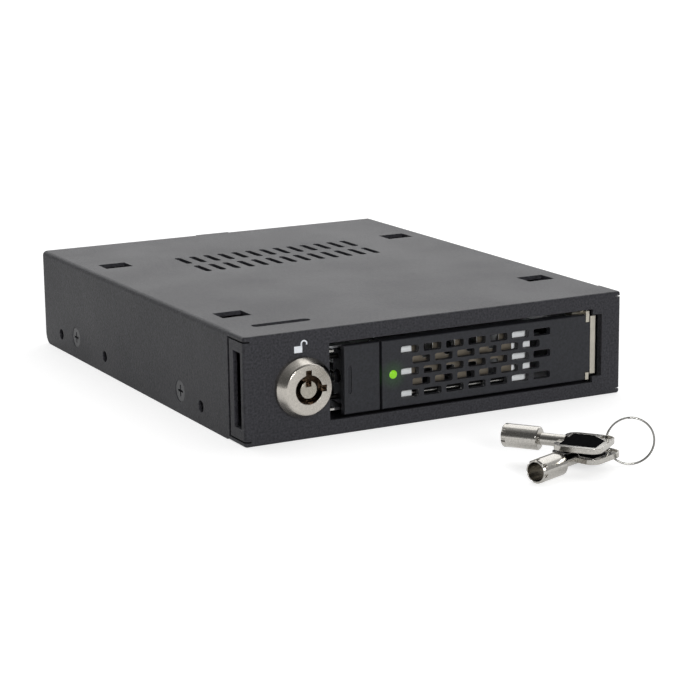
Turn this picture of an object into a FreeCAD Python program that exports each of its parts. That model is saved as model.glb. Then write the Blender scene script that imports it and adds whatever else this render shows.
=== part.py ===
import FreeCAD, Part
import math
import os
import re

import Sketcher
from FreeCAD import Rotation, Vector

# Hot swap drive cage: a folded steel housing for one external 3.5-inch bay, with a key
# lock and a pull-out tray for one 2.5-inch drive. Two tubular keys on a ring lie beside it.
#
# Frame: X to the right seen from the front, Y from the front face towards the rear, Z up.
# The origin is on the underside, at the centre of the housing's footprint.
# Lengths are millimetres. "depth of" a thing is its distance behind the front face.

DIMENSIONS = {
    # folded outer cover
    "cage_width": 101.6,
    "cage_depth": 127.0,
    "cage_height": 25.4,
    "cover_sheet": 1.0,
    "cover_bend": 1.2,
    "cover_corner": 0.6,
    "side_start": 8.6,
    "side_corner": 1.2,
    "flange_depth": 7.6,
    "flange_bend": 0.8,
    "corner_relief": 0.4,
    "lip_inset": 1.6,
    "lower_flange": 8.6,
    "rear_corner": 3.0,
    "rear_tab_width": 9.8,
    "rear_tab_reach": 0.8,
    # drive window in the front face
    "bay_offset": 6.7,
    "window_width": 72.0,
    "window_height": 18.2,
    "window_base": 3.6,
    "notch_width": 2.6,
    "notch_height": 15.4,
    # slots in the folded side flanges
    "flange_slot_depth": 3.7,
    "flange_slot_width": 3.8,
    "flange_slot_height": 17.7,
    "flange_slot_rise": 12.8,
    # openings in the top
    "hook_hole_length": 7.4,
    "hook_hole_width": 6.1,
    "hook_hole_offset": 42.0,
    "front_hook_depth": 24.7,
    "rear_hook_depth": 96.5,
    "lock_slot_length": 14.8,
    "lock_slot_width": 2.6,
    "lock_slot_depth": 10.4,
    "vent_count": 13,
    "vent_pitch": 4.12,
    "vent_width": 1.8,
    "vent_length": 9.0,
    "vent_offset": 0.75,
    "vent_depth": 81.0,
    "vent_row_pitch": 12.3,
    # holes in the sides
    "bay_hole_radius": 1.25,
    "bay_hole_mouth": 1.45,
    "bay_hole_rise": 4.5,
    "front_bay_hole_depth": 24.0,
    "middle_bay_hole_depth": 84.0,
    "rear_bay_hole_depth": 115.0,
    "screw_rise": 5.7,
    "front_screw_depth": 36.0,
    "rear_screw_depth": 104.0,
    "screw_radius": 1.45,
    "screw_thread_radius": 1.25,
    "screw_head_radius": 2.75,
    "screw_head_depth": 0.9,
    "screw_sink": 0.1,
    "screw_length": 4.6,
    "recess_reach": 1.45,
    "recess_width": 0.6,
    "recess_depth": 0.7,
    # bottom chassis
    "chassis_sheet": 1.0,
    "sheet_gap": 0.1,
    "chassis_start": 9.0,
    "chassis_side_height": 9.0,
    "post_width": 5.0,
    "post_tab_reach": 5.5,
    "port_width": 47.0,
    "port_height": 10.0,
    "rear_vent_count": 8,
    "rear_vent_pitch": 4.2,
    "rear_vent_height": 7.0,
    "rear_vent_margin": 4.8,
    # guide rails
    "rail_inset": 0.1,
    "rail_web": 1.6,
    "rail_start": 12.6,
    "rail_end": 117.4,
    "rail_top": 22.4,
    "rail_foot": 4.1,
    "rail_foot_height": 2.0,
    "rail_ledge": 2.4,
    "rail_screw_radius": 1.1,
    "rail_screw_head": 2.0,
    "rail_screw_length": 2.8,
    "front_rail_screw": 30.0,
    "rear_rail_screw": 100.0,
    "rail_block": 2.9,
    "rail_block_length": 3.2,
    "rail_block_gap": 0.5,
    # backplane
    "board_sheet": 1.6,
    "board_base": 3.2,
    "board_top": 22.4,
    "board_screw_rise": 18.4,
    "board_screw_radius": 1.0,
    "board_screw_head": 1.9,
    "board_screw_cap": 1.2,
    "board_screw_reach": 2.8,
    "socket_offset": -8.7,
    "socket_width": 41.0,
    "socket_height": 4.8,
    "socket_depth": 4.4,
    "socket_rise": 9.2,
    "socket_wall": 0.9,
    "socket_data_offset": -13.2,
    "socket_data_width": 11.0,
    "socket_power_offset": 5.4,
    "socket_power_width": 22.0,
    "tongue_sheet": 1.0,
    "lamp_depth": 0.8,
    "lamp_gap": 1.8,
    "port_rise": 12.4,
    "data_port_offset": -13.4,
    "data_port_width": 14.0,
    "power_port_offset": 8.0,
    "power_port_width": 25.0,
    "port_body_height": 7.2,
    "port_body_depth": 7.4,
    "port_wall": 1.1,
    # tray
    "tray_gap": 0.3,
    "tray_rise_gap": 0.1,
    "tray_sheet": 0.6,
    "tray_base": 4.6,
    "tray_front": 4.4,
    "tray_end": 109.0,
    "tray_side_height": 7.0,
    "tray_roof": 19.9,
    "tray_wall_depth": 11.4,
    "cam_notch_start": 8.6,
    "cam_notch_end": 11.2,
    "cam_notch_reach": 4.0,
    "tray_side_start": 9.6,
    "drive_hole_radius": 1.6,
    "drive_hole_pitch": 61.72,
    "drive_hole_run": 76.6,
    "drive_front_hole": 22.8,
    "tray_slot_count": 7,
    "tray_slot_pitch": 6.8,
    "tray_slot_width": 3.4,
    "tray_slot_length": 50.0,
    "wall_slot_count": 7,
    "wall_slot_pitch": 9.2,
    "wall_slot_width": 6.4,
    "wall_slot_height": 9.0,
    "bracket_offset": -13.8,
    "bracket_depth": 4.9,
    "bracket_foot": 4.0,
    # tray face: sliding release button and swinging lever
    "face_recess": 0.8,
    "face_sheet": 1.6,
    "face_base": 4.2,
    "face_height": 16.2,
    "face_edge": 0.3,
    "button_start": 4.2,
    "button_width": 9.3,
    "face_gap": 0.6,
    "button_depth": 5.6,
    "button_shoulder": 0.9,
    "button_groove_sink": 0.5,
    "button_block_height": 12.6,
    "button_groove_width": 1.1,
    "button_groove_height": 6.6,
    "button_groove_inset": 1.4,
    "guide_pin_radius": 0.6,
    "guide_pin_depth": 6.0,
    "guide_pin_spread": 9.6,
    "slide_clearance": 0.05,
    "spring_radius": 1.5,
    "spring_wire": 0.35,
    "spring_length": 7.8,
    "spring_turns": 4.5,
    "lever_end": 0.2,
    "lever_rim": 1.0,
    "lever_depth": 3.8,
    "lever_rim_end": 36.6,
    "grille_pitch": 6.06,
    "grille_row_pitch": 2.65,
    "grille_slot_length": 4.8,
    "grille_slot_height": 1.8,
    "grille_slot_corner": 0.45,
    "grille_count": 7,
    "grille_rows": 5,
    "grille_offset": 10.4,
    "grille_rise": 12.35,
    "screen_sheet": 0.6,
    "screen_depth": 3.0,
    "screen_left": -10.6,
    "screen_right": 26.5,
    "screen_hole_width": 2.8,
    "screen_hole_height": 4.0,
    "screen_hole_corner": 0.7,
    "screen_hole_rise": 10.1,
    "screen_pitch": 6.06,
    "screen_row_pitch": 6.6,
    "screen_columns": 4,
    "screen_rows": 2,
    "screen_offset": 7.17,
    "lens_radius": 1.0,
    "lens_offset": -12.3,
    "lens_rise": 12.2,
    "pipe_width": 1.2,
    "pipe_height": 1.0,
    "pipe_rise": 20.3,
    "pipe_turn_depth": 9.6,
    "pipe_clearance": 0.4,
    "pipe_bend": 1.6,
    "lens_proud": 0.15,
    # lever hinge
    "pivot_offset": 40.2,
    "pivot_depth": 4.6,
    "pin_radius": 0.8,
    "pin_head": 1.3,
    "pin_head_height": 0.4,
    "ear_radius": 1.7,
    "ear_sheet": 0.8,
    "ear_gap": 0.1,
    "lug_radius": 1.15,
    "hook_web_offset": 1.2,
    "hook_web": 0.8,
    "hook_bar_width": 1.5,
    "hook_bar_gap": 0.5,
    "hook_bar_base": 5.5,
    "hook_bar_height": 14.4,
    "hook_front": 1.2,
    "ear_tip_width": 1.0,
    "ear_tip_height": 1.9,
    "ear_tip_proud": 0.9,
    # key lock
    "lock_offset": -36.3,
    "lock_rise": 12.45,
    "lock_face_radius": 5.95,
    "lock_flange_radius": 7.05,
    "lock_reach": 3.5,
    "lock_rim": 1.2,
    "lock_bevel": 0.3,
    "post_sink": 0.3,
    "lock_barrel_radius": 5.9,
    "lock_length": 9.0,
    "keyway_radius": 3.4,
    "keyway_depth": 6.0,
    "post_radius": 2.05,
    "plug_radius": 4.4,
    "notch_reach": 4.5,
    "key_notch_width": 1.5,
    "key_notch_depth": 2.4,
    "plug_clearance": 0.06,
    "nut_height": 2.6,
    "nut_flats": 13.0,
    "washer_radius": 6.9,
    "washer_sheet": 0.6,
    "cam_sheet": 1.2,
    "cam_reach": 10.2,
    "cam_width": 4.4,
    "cam_hub_radius": 3.6,
    "cam_square": 4.4,
    "cam_screw_head": 2.6,
    "cam_screw_height": 1.6,
    # keys
    "key_barrel_radius": 2.6,
    "key_bore_radius": 2.12,
    "key_bore_depth": 7.0,
    "key_chamfer": 0.25,
    "bitting_count": 7,
    "bitting_radius": 0.4,
    "bitting_length": 1.1,
    "key_barrel_length": 8.3,
    "key_shank_radius": 1.35,
    "key_shank_length": 4.6,
    "bow_length": 10.9,
    "bow_width": 12.3,
    "bow_sheet": 1.15,
    "bow_corner": 2.4,
    "bow_border": 1.3,
    "insert_sheet": 0.35,
    "insert_length": 8.3,
    "insert_corner": 3.4,
    "ring_hole_radius": 1.35,
    "ring_hole_inset": 1.9,
    "ring_radius": 5.2,
    "ring_wire": 0.36,
    "upper_key_offset": -6.0,
    "upper_key_depth": -37.6,
    "upper_key_rise": 5.83,
    "lower_key_offset": -10.0,
    "lower_key_depth": -56.4,
    "lower_key_rise": 2.62,
    "ring_offset": 15.15,
    "ring_depth": -54.95,
    "ring_rise": 5.58,
}

OUTPUT_FOLDER = "parts"

doc = FreeCAD.newDocument("hot_swap_drive_cage")
sheet = doc.addObject("Spreadsheet::Sheet", "dim")
for row, (alias, value) in enumerate(DIMENSIONS.items(), start=1):
    sheet.set("A%d" % row, alias)
    sheet.set("B%d" % row, str(value))
    sheet.setAlias("B%d" % row, alias)
doc.recompute()

pieces = []


# ---------------------------------------------------------------- expressions


def bound(text):
    """Turn the names of dimensions in a formula into cells of the sheet."""
    def linked(match):
        word = match.group()
        return "dim." + word if word in DIMENSIONS else word

    return re.sub(r"[a-z][a-z_]*", linked, text)


def bind(target, prop, text):
    """Tie one property of an object to a formula of dimensions."""
    target.setExpression(prop, bound(text))


def measure(text):
    """Value of a formula of dimensions, in millimetres."""
    return float(sheet.evalExpression(bound(text)))


def behind(text):
    """Formula for the Y of something that lies a distance behind the front face."""
    return "(-cage_depth / 2 + %s)" % text


def keep(node, label):
    """List an object as a finished piece, under the name of its file."""
    node.Label = label
    pieces.append(node)
    return node


# ---------------------------------------------------------------- sketches


def new_body(label):
    return doc.addObject("PartDesign::Body", label)


def new_sketch(body, plane, offset="0"):
    """Sketch on one of a body's own planes, moved along the plane's normal."""
    sketch = body.newObject("Sketcher::SketchObject", body.Name + "_sketch")
    support = next(item for item in body.Origin.OriginFeatures if item.Role == plane)
    sketch.AttachmentSupport = [(support, "")]
    sketch.MapMode = "FlatFace"
    bind(sketch, ".AttachmentOffset.Base.z", offset)
    return sketch


def flat_sketch(body, rise="0"):
    """Sketch in plan: u is X, v is Y, at a height."""
    return new_sketch(body, "XY_Plane", rise)


def front_sketch(body, place="0"):
    """Sketch in front view: u is X, v is Z, at a Y."""
    return new_sketch(body, "XZ_Plane", "-(%s)" % place)


def side_sketch(body, place="0"):
    """Sketch in side view: u is Y, v is Z, at an X."""
    return new_sketch(body, "YZ_Plane", place)


def pin_point(sketch, edge, end, u, v):
    """Hold a point of the sketch at formulas of dimensions."""
    for kind, text in (("DistanceX", u), ("DistanceY", v)):
        index = sketch.addConstraint(Sketcher.Constraint(kind, -1, 1, edge, end, measure(text)))
        bind(sketch, "Constraints[%d]" % index, text)


def draw_outline(sketch, corners):
    """Closed polygon through corners given as pairs of formulas."""
    points = [Vector(measure(u), measure(v), 0) for u, v in corners]
    first = sketch.GeometryCount
    count = len(points)
    for index in range(count):
        sketch.addGeometry(Part.LineSegment(points[index], points[(index + 1) % count]), False)
    for index in range(count):
        following = first + (index + 1) % count
        sketch.addConstraint(Sketcher.Constraint("Coincident", first + index, 2, following, 1))
    for index, (u, v) in enumerate(corners):
        pin_point(sketch, first + index, 1, u, v)


def draw_rectangle(sketch, left, right, low, high):
    draw_outline(sketch, [(left, low), (right, low), (right, high), (left, high)])


def draw_centred_rectangle(sketch, u, v, width, height):
    draw_rectangle(
        sketch,
        "%s - (%s) / 2" % (u, width),
        "%s + (%s) / 2" % (u, width),
        "%s - (%s) / 2" % (v, height),
        "%s + (%s) / 2" % (v, height),
    )


def draw_rounded_rectangle(sketch, u, v, width, height, corner):
    """Rectangle about a centre, with an arc tangent to both sides at each corner."""
    reach = ("((%s) / 2 - %s)" % (width, corner), "((%s) / 2 - %s)" % (height, corner))
    radius = measure(corner)
    first = sketch.GeometryCount
    normal = Vector(0, 0, 1)
    centres = []
    for across, upward in ((-1, -1), (1, -1), (1, 1), (-1, 1)):
        centres.append(("(%s) + %d * %s" % (u, across, reach[0]), "(%s) + %d * %s" % (v, upward, reach[1])))
    spots = [Vector(measure(x), measure(y), 0) for x, y in centres]
    for index, spot in enumerate(spots):
        heading = math.pi + index * math.pi / 2
        outwards = Vector(math.cos(heading + math.pi / 2), math.sin(heading + math.pi / 2), 0) * radius
        arc = Part.ArcOfCircle(Part.Circle(spot, normal, radius), heading, heading + math.pi / 2)
        sketch.addGeometry(arc, False)
        following = spots[(index + 1) % 4]
        sketch.addGeometry(Part.LineSegment(spot + outwards, following + outwards), False)
    for index in range(8):
        meeting = (first + index, 2, first + (index + 1) % 8, 1)
        sketch.addConstraint(Sketcher.Constraint("Tangent", *meeting))
    index = sketch.addConstraint(Sketcher.Constraint("Radius", first, radius))
    bind(sketch, "Constraints[%d]" % index, corner)
    for corner_index, (x, y) in enumerate(centres):
        pin_point(sketch, first + 2 * corner_index, 3, x, y)


def draw_circle(sketch, u, v, radius):
    centre = Vector(measure(u), measure(v), 0)
    edge = sketch.addGeometry(Part.Circle(centre, Vector(0, 0, 1), measure(radius)), False)
    pin_point(sketch, edge, 3, u, v)
    index = sketch.addConstraint(Sketcher.Constraint("Radius", edge, measure(radius)))
    bind(sketch, "Constraints[%d]" % index, radius)


def draw_slot(sketch, u, v, length, width, upright=False):
    """Slot with round ends; its length runs along u, or along v if upright."""
    reach = "((%s) - (%s)) / 2" % (length, width)
    radius = "(%s) / 2" % width
    du, dv = ("0", reach) if upright else (reach, "0")
    start = ("(%s) - (%s)" % (u, du), "(%s) - (%s)" % (v, dv))
    end = ("(%s) + (%s)" % (u, du), "(%s) + (%s)" % (v, dv))
    low = Vector(measure(start[0]), measure(start[1]), 0)
    high = Vector(measure(end[0]), measure(end[1]), 0)
    along = (high - low).normalize()
    side = Vector(-along.y, along.x, 0) * measure(radius)
    heading = math.atan2(along.y, along.x)
    normal = Vector(0, 0, 1)
    first = sketch.GeometryCount
    quarter = math.pi / 2
    tail = Part.ArcOfCircle(Part.Circle(low, normal, side.Length), heading + quarter, heading + 3 * quarter)
    head = Part.ArcOfCircle(Part.Circle(high, normal, side.Length), heading - quarter, heading + quarter)
    sketch.addGeometry(tail, False)
    sketch.addGeometry(Part.LineSegment(low - side, high - side), False)
    sketch.addGeometry(head, False)
    sketch.addGeometry(Part.LineSegment(high + side, low + side), False)
    joins = ((0, 2, 1, 1), (1, 2, 2, 1), (2, 2, 3, 1), (3, 2, 0, 1))
    for edge, end_point, other, other_point in joins:
        meeting = (first + edge, end_point, first + other, other_point)
        sketch.addConstraint(Sketcher.Constraint("Tangent", *meeting))
    index = sketch.addConstraint(Sketcher.Constraint("Radius", first, measure(radius)))
    bind(sketch, "Constraints[%d]" % index, radius)
    pin_point(sketch, first, 3, *start)
    pin_point(sketch, first + 2, 3, *end)


# ---------------------------------------------------------------- features


def solid_volume(body):
    shape = body.Shape
    return 0.0 if shape.isNull() else shape.Volume


def grow(feature, body, before):
    doc.recompute()
    if solid_volume(body) <= before:
        raise RuntimeError("%s adds nothing to %s" % (feature.Name, body.Name))
    return feature


def shrink(feature, body, before):
    doc.recompute()
    if solid_volume(body) >= before:
        raise RuntimeError("%s cuts nothing from %s" % (feature.Name, body.Name))
    return feature


def pad(body, sketch, length, backwards=False):
    before = solid_volume(body)
    feature = body.newObject("PartDesign::Pad", body.Name + "_pad")
    feature.Profile = sketch
    feature.Reversed = backwards
    bind(feature, "Length", length)
    return grow(feature, body, before)


def pocket(body, sketch, length, backwards=False):
    before = solid_volume(body)
    feature = body.newObject("PartDesign::Pocket", body.Name + "_pocket")
    feature.Profile = sketch
    feature.Reversed = backwards
    bind(feature, "Length", length)
    return shrink(feature, body, before)


def revolve(body, sketch, axis="V_Axis"):
    before = solid_volume(body)
    feature = body.newObject("PartDesign::Revolution", body.Name + "_turned")
    feature.Profile = sketch
    feature.ReferenceAxis = (sketch, [axis])
    feature.Angle = 360.0
    return grow(feature, body, before)


def repeat(body, feature, axis, pitch, count, second=None):
    """Row of copies of a feature, or a grid when a second (axis, pitch, count) is given."""
    before = solid_volume(body)
    pattern = body.newObject("PartDesign::LinearPattern", body.Name + "_row")
    pattern.Originals = [feature]
    axes = {item.Role: item for item in body.Origin.OriginFeatures}
    pattern.Direction = (axes[axis], [""])
    bind(pattern, "Length", "(%s) * (%s - 1)" % (pitch, count))
    bind(pattern, "Occurrences", count)
    if second:
        other_axis, other_pitch, other_count = second
        pattern.Direction2 = (axes[other_axis], [""])
        bind(pattern, "Length2", "(%s) * (%s - 1)" % (other_pitch, other_count))
        bind(pattern, "Occurrences2", other_count)
    body.Tip = pattern
    return shrink(pattern, body, before)


def repeat_round(body, feature, axis, count):
    """Ring of copies of a cut at even angles round an axis of the body."""
    before = solid_volume(body)
    ring = body.newObject("PartDesign::PolarPattern", body.Name + "_ring")
    ring.Originals = [feature]
    axes = {item.Role: item for item in body.Origin.OriginFeatures}
    ring.Axis = (axes[axis], [""])
    ring.Angle = 360
    bind(ring, "Occurrences", count)
    body.Tip = ring
    return shrink(ring, body, before)


def edges_where(shape, test):
    """Names of the straight edges of a shape whose ends pass a test."""
    names = []
    for index, edge in enumerate(shape.Edges, start=1):
        if len(edge.Vertexes) == 2 and test(edge.Vertexes[0].Point, edge.Vertexes[1].Point):
            names.append("Edge%d" % index)
    return names


def same(first, second):
    return abs(first - second) < 1e-4


def fillet(body, test, radius):
    """Round the edges of a body's last feature that pass a test."""
    base = body.Tip
    names = edges_where(base.Shape, test)
    if not names:
        raise RuntimeError("no edge to round on %s" % body.Name)
    feature = body.newObject("PartDesign::Fillet", body.Name + "_fillet")
    feature.Base = (base, names)
    bind(feature, "Radius", radius)
    doc.recompute()
    return feature


def place(node, x="0", y="0", z="0", rotation=None):
    """Put a piece where it belongs, by formulas of dimensions."""
    if rotation:
        node.Placement = FreeCAD.Placement(Vector(0, 0, 0), rotation)
    for axis, text in zip("xyz", (x, y, z)):
        bind(node, ".Placement.Base." + axis, text)
    return node


def copies(label, node, placements):
    """One piece that is a group of separate, identical solids."""
    group = doc.addObject("Part::Feature", label)
    group.Shape = Part.makeCompound([moved(node.Shape, item) for item in placements])
    return keep(group, label)


def moved(shape, placement):
    other = shape.copy()
    other.Placement = placement.multiply(other.Placement)
    return other


# ---------------------------------------------------------------- outer cover


HALF = "cage_width / 2"
ROOF = "cage_height - cover_sheet"
WINDOW_LEFT = "bay_offset - window_width / 2"
WINDOW_RIGHT = "bay_offset + window_width / 2"
WINDOW_TOP = "window_base + window_height"
WINDOW_MIDDLE = "window_base + window_height / 2"


def make_cover():
    """Top, sides and front face folded from one sheet."""
    body = new_body("outer_cover")
    half = measure(HALF)
    rear = measure(behind("cage_depth"))
    front = measure(behind("0"))
    roof = measure("cage_height")

    arch = front_sketch(body, behind("side_start"))
    draw_outline(arch, [
        ("-" + HALF, "0"),
        ("-%s + cover_sheet" % HALF, "0"),
        ("-%s + cover_sheet" % HALF, ROOF),
        ("%s - cover_sheet" % HALF, ROOF),
        ("%s - cover_sheet" % HALF, "0"),
        (HALF, "0"),
        (HALF, "cage_height"),
        ("-" + HALF, "cage_height"),
    ])
    pad(body, arch, "cage_depth - side_start", backwards=True)
    fillet(body, lambda a, b: same(abs(a.x), half) and same(a.x, b.x) and same(a.z, roof) and same(b.z, roof),
           "cover_bend")
    fillet(body, lambda a, b: same(a.y, rear) and same(b.y, rear) and same(a.z, 0) and same(b.z, 0),
           "rear_corner")
    start = measure(behind("side_start"))
    fillet(body, lambda a, b: same(a.y, start) and same(b.y, start) and same(a.z, 0) and same(b.z, 0),
           "side_corner")

    for level, bridge_level, reach in ((ROOF, ROOF + " - corner_relief", "side_start"),
                                       ("0", "cover_sheet", "lower_flange")):
        lip = flat_sketch(body, level)
        draw_rectangle(lip, "-" + HALF, HALF, behind("0"), behind(reach))
        pad(body, lip, "cover_sheet")
        bridge = flat_sketch(body, bridge_level)
        draw_rectangle(bridge, "-%s + lip_inset" % HALF, "%s - lip_inset" % HALF, behind("0"),
                       behind("cover_sheet"))
        pad(body, bridge, "corner_relief")
    tub = flat_sketch(body, "cover_sheet + corner_relief")
    draw_outline(tub, [
        ("-" + HALF, behind("0")),
        (HALF, behind("0")),
        (HALF, behind("flange_depth")),
        ("%s - cover_sheet" % HALF, behind("flange_depth")),
        ("%s - cover_sheet" % HALF, behind("cover_sheet")),
        ("-%s + cover_sheet" % HALF, behind("cover_sheet")),
        ("-%s + cover_sheet" % HALF, behind("flange_depth")),
        ("-" + HALF, behind("flange_depth")),
    ])
    pad(body, tub, ROOF + " - cover_sheet - 2 * corner_relief")
    sheet_edge = measure("cover_sheet")
    fillet(body, lambda a, b: same(abs(a.x), half) and same(a.x, b.x) and same(a.y, front)
           and same(b.y, front) and abs(a.z - b.z) > 2 * sheet_edge, "flange_bend")
    fillet(body, lambda a, b: same(abs(a.x), half) and same(a.x, b.x) and same(a.y, front)
           and same(b.y, front) and same(abs(a.z - b.z), sheet_edge), "flange_bend")
    fillet(body, lambda a, b: same(a.z, b.z) and (same(a.z, roof) or same(a.z, 0)) and same(a.y, front)
           and same(b.y, front), "cover_corner")
    tab = flat_sketch(body, ROOF)
    draw_rectangle(tab, "-rear_tab_width / 2", "rear_tab_width / 2", behind("cage_depth"),
                   behind("cage_depth + rear_tab_reach"))
    pad(body, tab, "cover_sheet")

    window = front_sketch(body, behind("0"))
    notch_low = "%s - notch_height / 2" % WINDOW_MIDDLE
    notch_high = "%s + notch_height / 2" % WINDOW_MIDDLE
    draw_outline(window, [
        (WINDOW_LEFT, "window_base"),
        (WINDOW_RIGHT, "window_base"),
        (WINDOW_RIGHT, notch_low),
        (WINDOW_RIGHT + " + notch_width", notch_low),
        (WINDOW_RIGHT + " + notch_width", notch_high),
        (WINDOW_RIGHT, notch_high),
        (WINDOW_RIGHT, WINDOW_TOP),
        (WINDOW_LEFT, WINDOW_TOP),
    ])
    pocket(body, window, "cover_sheet")
    keyhole = front_sketch(body, behind("0"))
    draw_circle(keyhole, "lock_offset", "lock_rise", "lock_barrel_radius + slide_clearance")
    pocket(body, keyhole, "cover_sheet")

    for side in ("-", ""):
        flange = side_sketch(body, side + HALF)
        draw_centred_rectangle(flange, behind("flange_slot_depth"), "flange_slot_rise",
                               "flange_slot_width", "flange_slot_height")
        pocket(body, flange, "cover_sheet", backwards=(side == "-"))
        bores = side_sketch(body, side + HALF)
        for depth in BAY_HOLE_DEPTHS:
            draw_circle(bores, behind(depth), "bay_hole_rise", "bay_hole_mouth")
        for depth in SCREW_DEPTHS:
            draw_circle(bores, behind(depth), "screw_rise", "screw_radius")
        pocket(body, bores, "cover_sheet", backwards=(side == "-"))

    hooks = flat_sketch(body, "cage_height")
    for side in ("-", ""):
        for depth in ("front_hook_depth", "rear_hook_depth"):
            draw_centred_rectangle(hooks, side + "hook_hole_offset", behind(depth), "hook_hole_length",
                                   "hook_hole_width")
    pocket(body, hooks, "cover_sheet")
    service = flat_sketch(body, "cage_height")
    draw_slot(service, "lock_offset", behind("lock_slot_depth"), "lock_slot_length", "lock_slot_width")
    pocket(body, service, "cover_sheet")
    vent = flat_sketch(body, "cage_height")
    draw_slot(vent, "vent_offset - vent_pitch * (vent_count - 1) / 2", behind("vent_depth"), "vent_length",
              "vent_width", upright=True)
    first = pocket(body, vent, "cover_sheet")
    repeat(body, first, "X_Axis", "vent_pitch", "vent_count", ("Y_Axis", "vent_row_pitch", "2"))
    countersink(body)
    return keep(body, "outer_cover")


BAY_HOLE_DEPTHS = ("front_bay_hole_depth", "middle_bay_hole_depth", "rear_bay_hole_depth")
SCREW_DEPTHS = ("front_screw_depth", "rear_screw_depth")


def countersink(body):
    """Conical seats of the four side screws, cut from the outside."""
    base = body.Tip
    half = measure(HALF)
    rise = measure("screw_rise")
    names = []
    for index, edge in enumerate(base.Shape.Edges, start=1):
        if isinstance(edge.Curve, Part.Circle) and same(edge.Curve.Center.z, rise):
            if same(abs(edge.Curve.Center.x), half):
                names.append("Edge%d" % index)
    before = solid_volume(body)
    feature = body.newObject("PartDesign::Chamfer", body.Name + "_countersink")
    feature.Base = (base, names)
    feature.ChamferType = "Two distances"
    bind(feature, "Size", "screw_head_radius - screw_radius")
    bind(feature, "Size2", "screw_head_depth")
    return shrink(feature, body, before)


# ---------------------------------------------------------------- bottom chassis


CHASSIS_HALF = "(cage_width / 2 - cover_sheet - sheet_gap)"
CHASSIS_END = "cage_depth - sheet_gap"
CHASSIS_TOP = "(cage_height - cover_sheet - sheet_gap)"


def sided(side, low, high):
    """Ends of a span on the right, or of its mirror image on the left."""
    return (low, high) if side == "" else ("-(%s)" % high, "-(%s)" % low)


def make_chassis():
    """Floor, low sides, four posts with folded tabs, and the rear wall with its openings."""
    body = new_body("bottom_chassis")
    inner = CHASSIS_HALF + " - chassis_sheet"
    floor = flat_sketch(body)
    draw_rectangle(floor, "-" + CHASSIS_HALF, CHASSIS_HALF, behind("chassis_start"), behind(CHASSIS_END))
    pad(body, floor, "chassis_sheet")
    for side in ("-", ""):
        left, right = sided(side, inner, CHASSIS_HALF)
        flange = flat_sketch(body)
        draw_rectangle(flange, left, right, behind("chassis_start"), behind(CHASSIS_END))
        pad(body, flange, "chassis_side_height")
        posts = flat_sketch(body)
        tabs = flat_sketch(body, CHASSIS_TOP + " - chassis_sheet")
        tab_left, tab_right = sided(side, CHASSIS_HALF + " - post_tab_reach", CHASSIS_HALF)
        for depth in ("front_hook_depth", "rear_hook_depth"):
            span = (behind(depth + " - post_width / 2"), behind(depth + " + post_width / 2"))
            draw_rectangle(posts, left, right, *span)
            draw_rectangle(tabs, tab_left, tab_right, *span)
        pad(body, posts, CHASSIS_TOP)
        pad(body, tabs, "chassis_sheet")
    wall = flat_sketch(body)
    draw_rectangle(wall, "-" + CHASSIS_HALF, CHASSIS_HALF, behind(CHASSIS_END + " - chassis_sheet"),
                   behind(CHASSIS_END))
    pad(body, wall, CHASSIS_TOP)

    ports = front_sketch(body, behind(CHASSIS_END))
    draw_centred_rectangle(ports, "bay_offset", "port_rise", "port_width", "port_height")
    pocket(body, ports, "chassis_sheet", backwards=True)
    rear_vent = front_sketch(body, behind(CHASSIS_END))
    draw_slot(rear_vent, "rear_vent_margin - cage_width / 2", "port_rise", "rear_vent_height", "vent_width",
              upright=True)
    first = pocket(body, rear_vent, "chassis_sheet", backwards=True)
    repeat(body, first, "X_Axis", "rear_vent_pitch", "rear_vent_count")
    vent = flat_sketch(body, "chassis_sheet")
    draw_slot(vent, "vent_offset - vent_pitch * (vent_count - 1) / 2", behind("vent_depth"), "vent_length",
              "vent_width", upright=True)
    first = pocket(body, vent, "chassis_sheet")
    repeat(body, first, "X_Axis", "vent_pitch", "vent_count")
    for side in ("-", ""):
        bores = side_sketch(body, side + CHASSIS_HALF)
        for depth in BAY_HOLE_DEPTHS:
            draw_circle(bores, behind(depth), "bay_hole_rise", "bay_hole_radius")
        for depth in SCREW_DEPTHS:
            draw_circle(bores, behind(depth), "screw_rise", "screw_thread_radius")
        pocket(body, bores, "chassis_sheet", backwards=(side == "-"))
    sinks = flat_sketch(body, "0")
    for x in RAIL_SCREW_PLACES:
        for depth in ("front_rail_screw", "rear_rail_screw"):
            draw_circle(sinks, x, behind(depth), "rail_screw_head")
    pocket(body, sinks, "chassis_sheet", backwards=True)
    return keep(body, "bottom_chassis")


# ---------------------------------------------------------------- guide rails and backplane


RAIL_FACE = "(window_width / 2 + rail_inset)"
RAIL_SCREW_REACH = "(window_width / 2 + rail_inset + rail_web + rail_foot / 2)"
RAIL_SCREW_PLACES = ("bay_offset - " + RAIL_SCREW_REACH, "bay_offset + " + RAIL_SCREW_REACH)
BLOCK_REACH = "(window_width / 2 + rail_inset + rail_block / 2 + rail_web / 2)"
LEDGE_TOP = "tray_base - tray_rise_gap"


BLOCK_BASE = "screw_rise + screw_radius + rail_block_gap"


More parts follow.
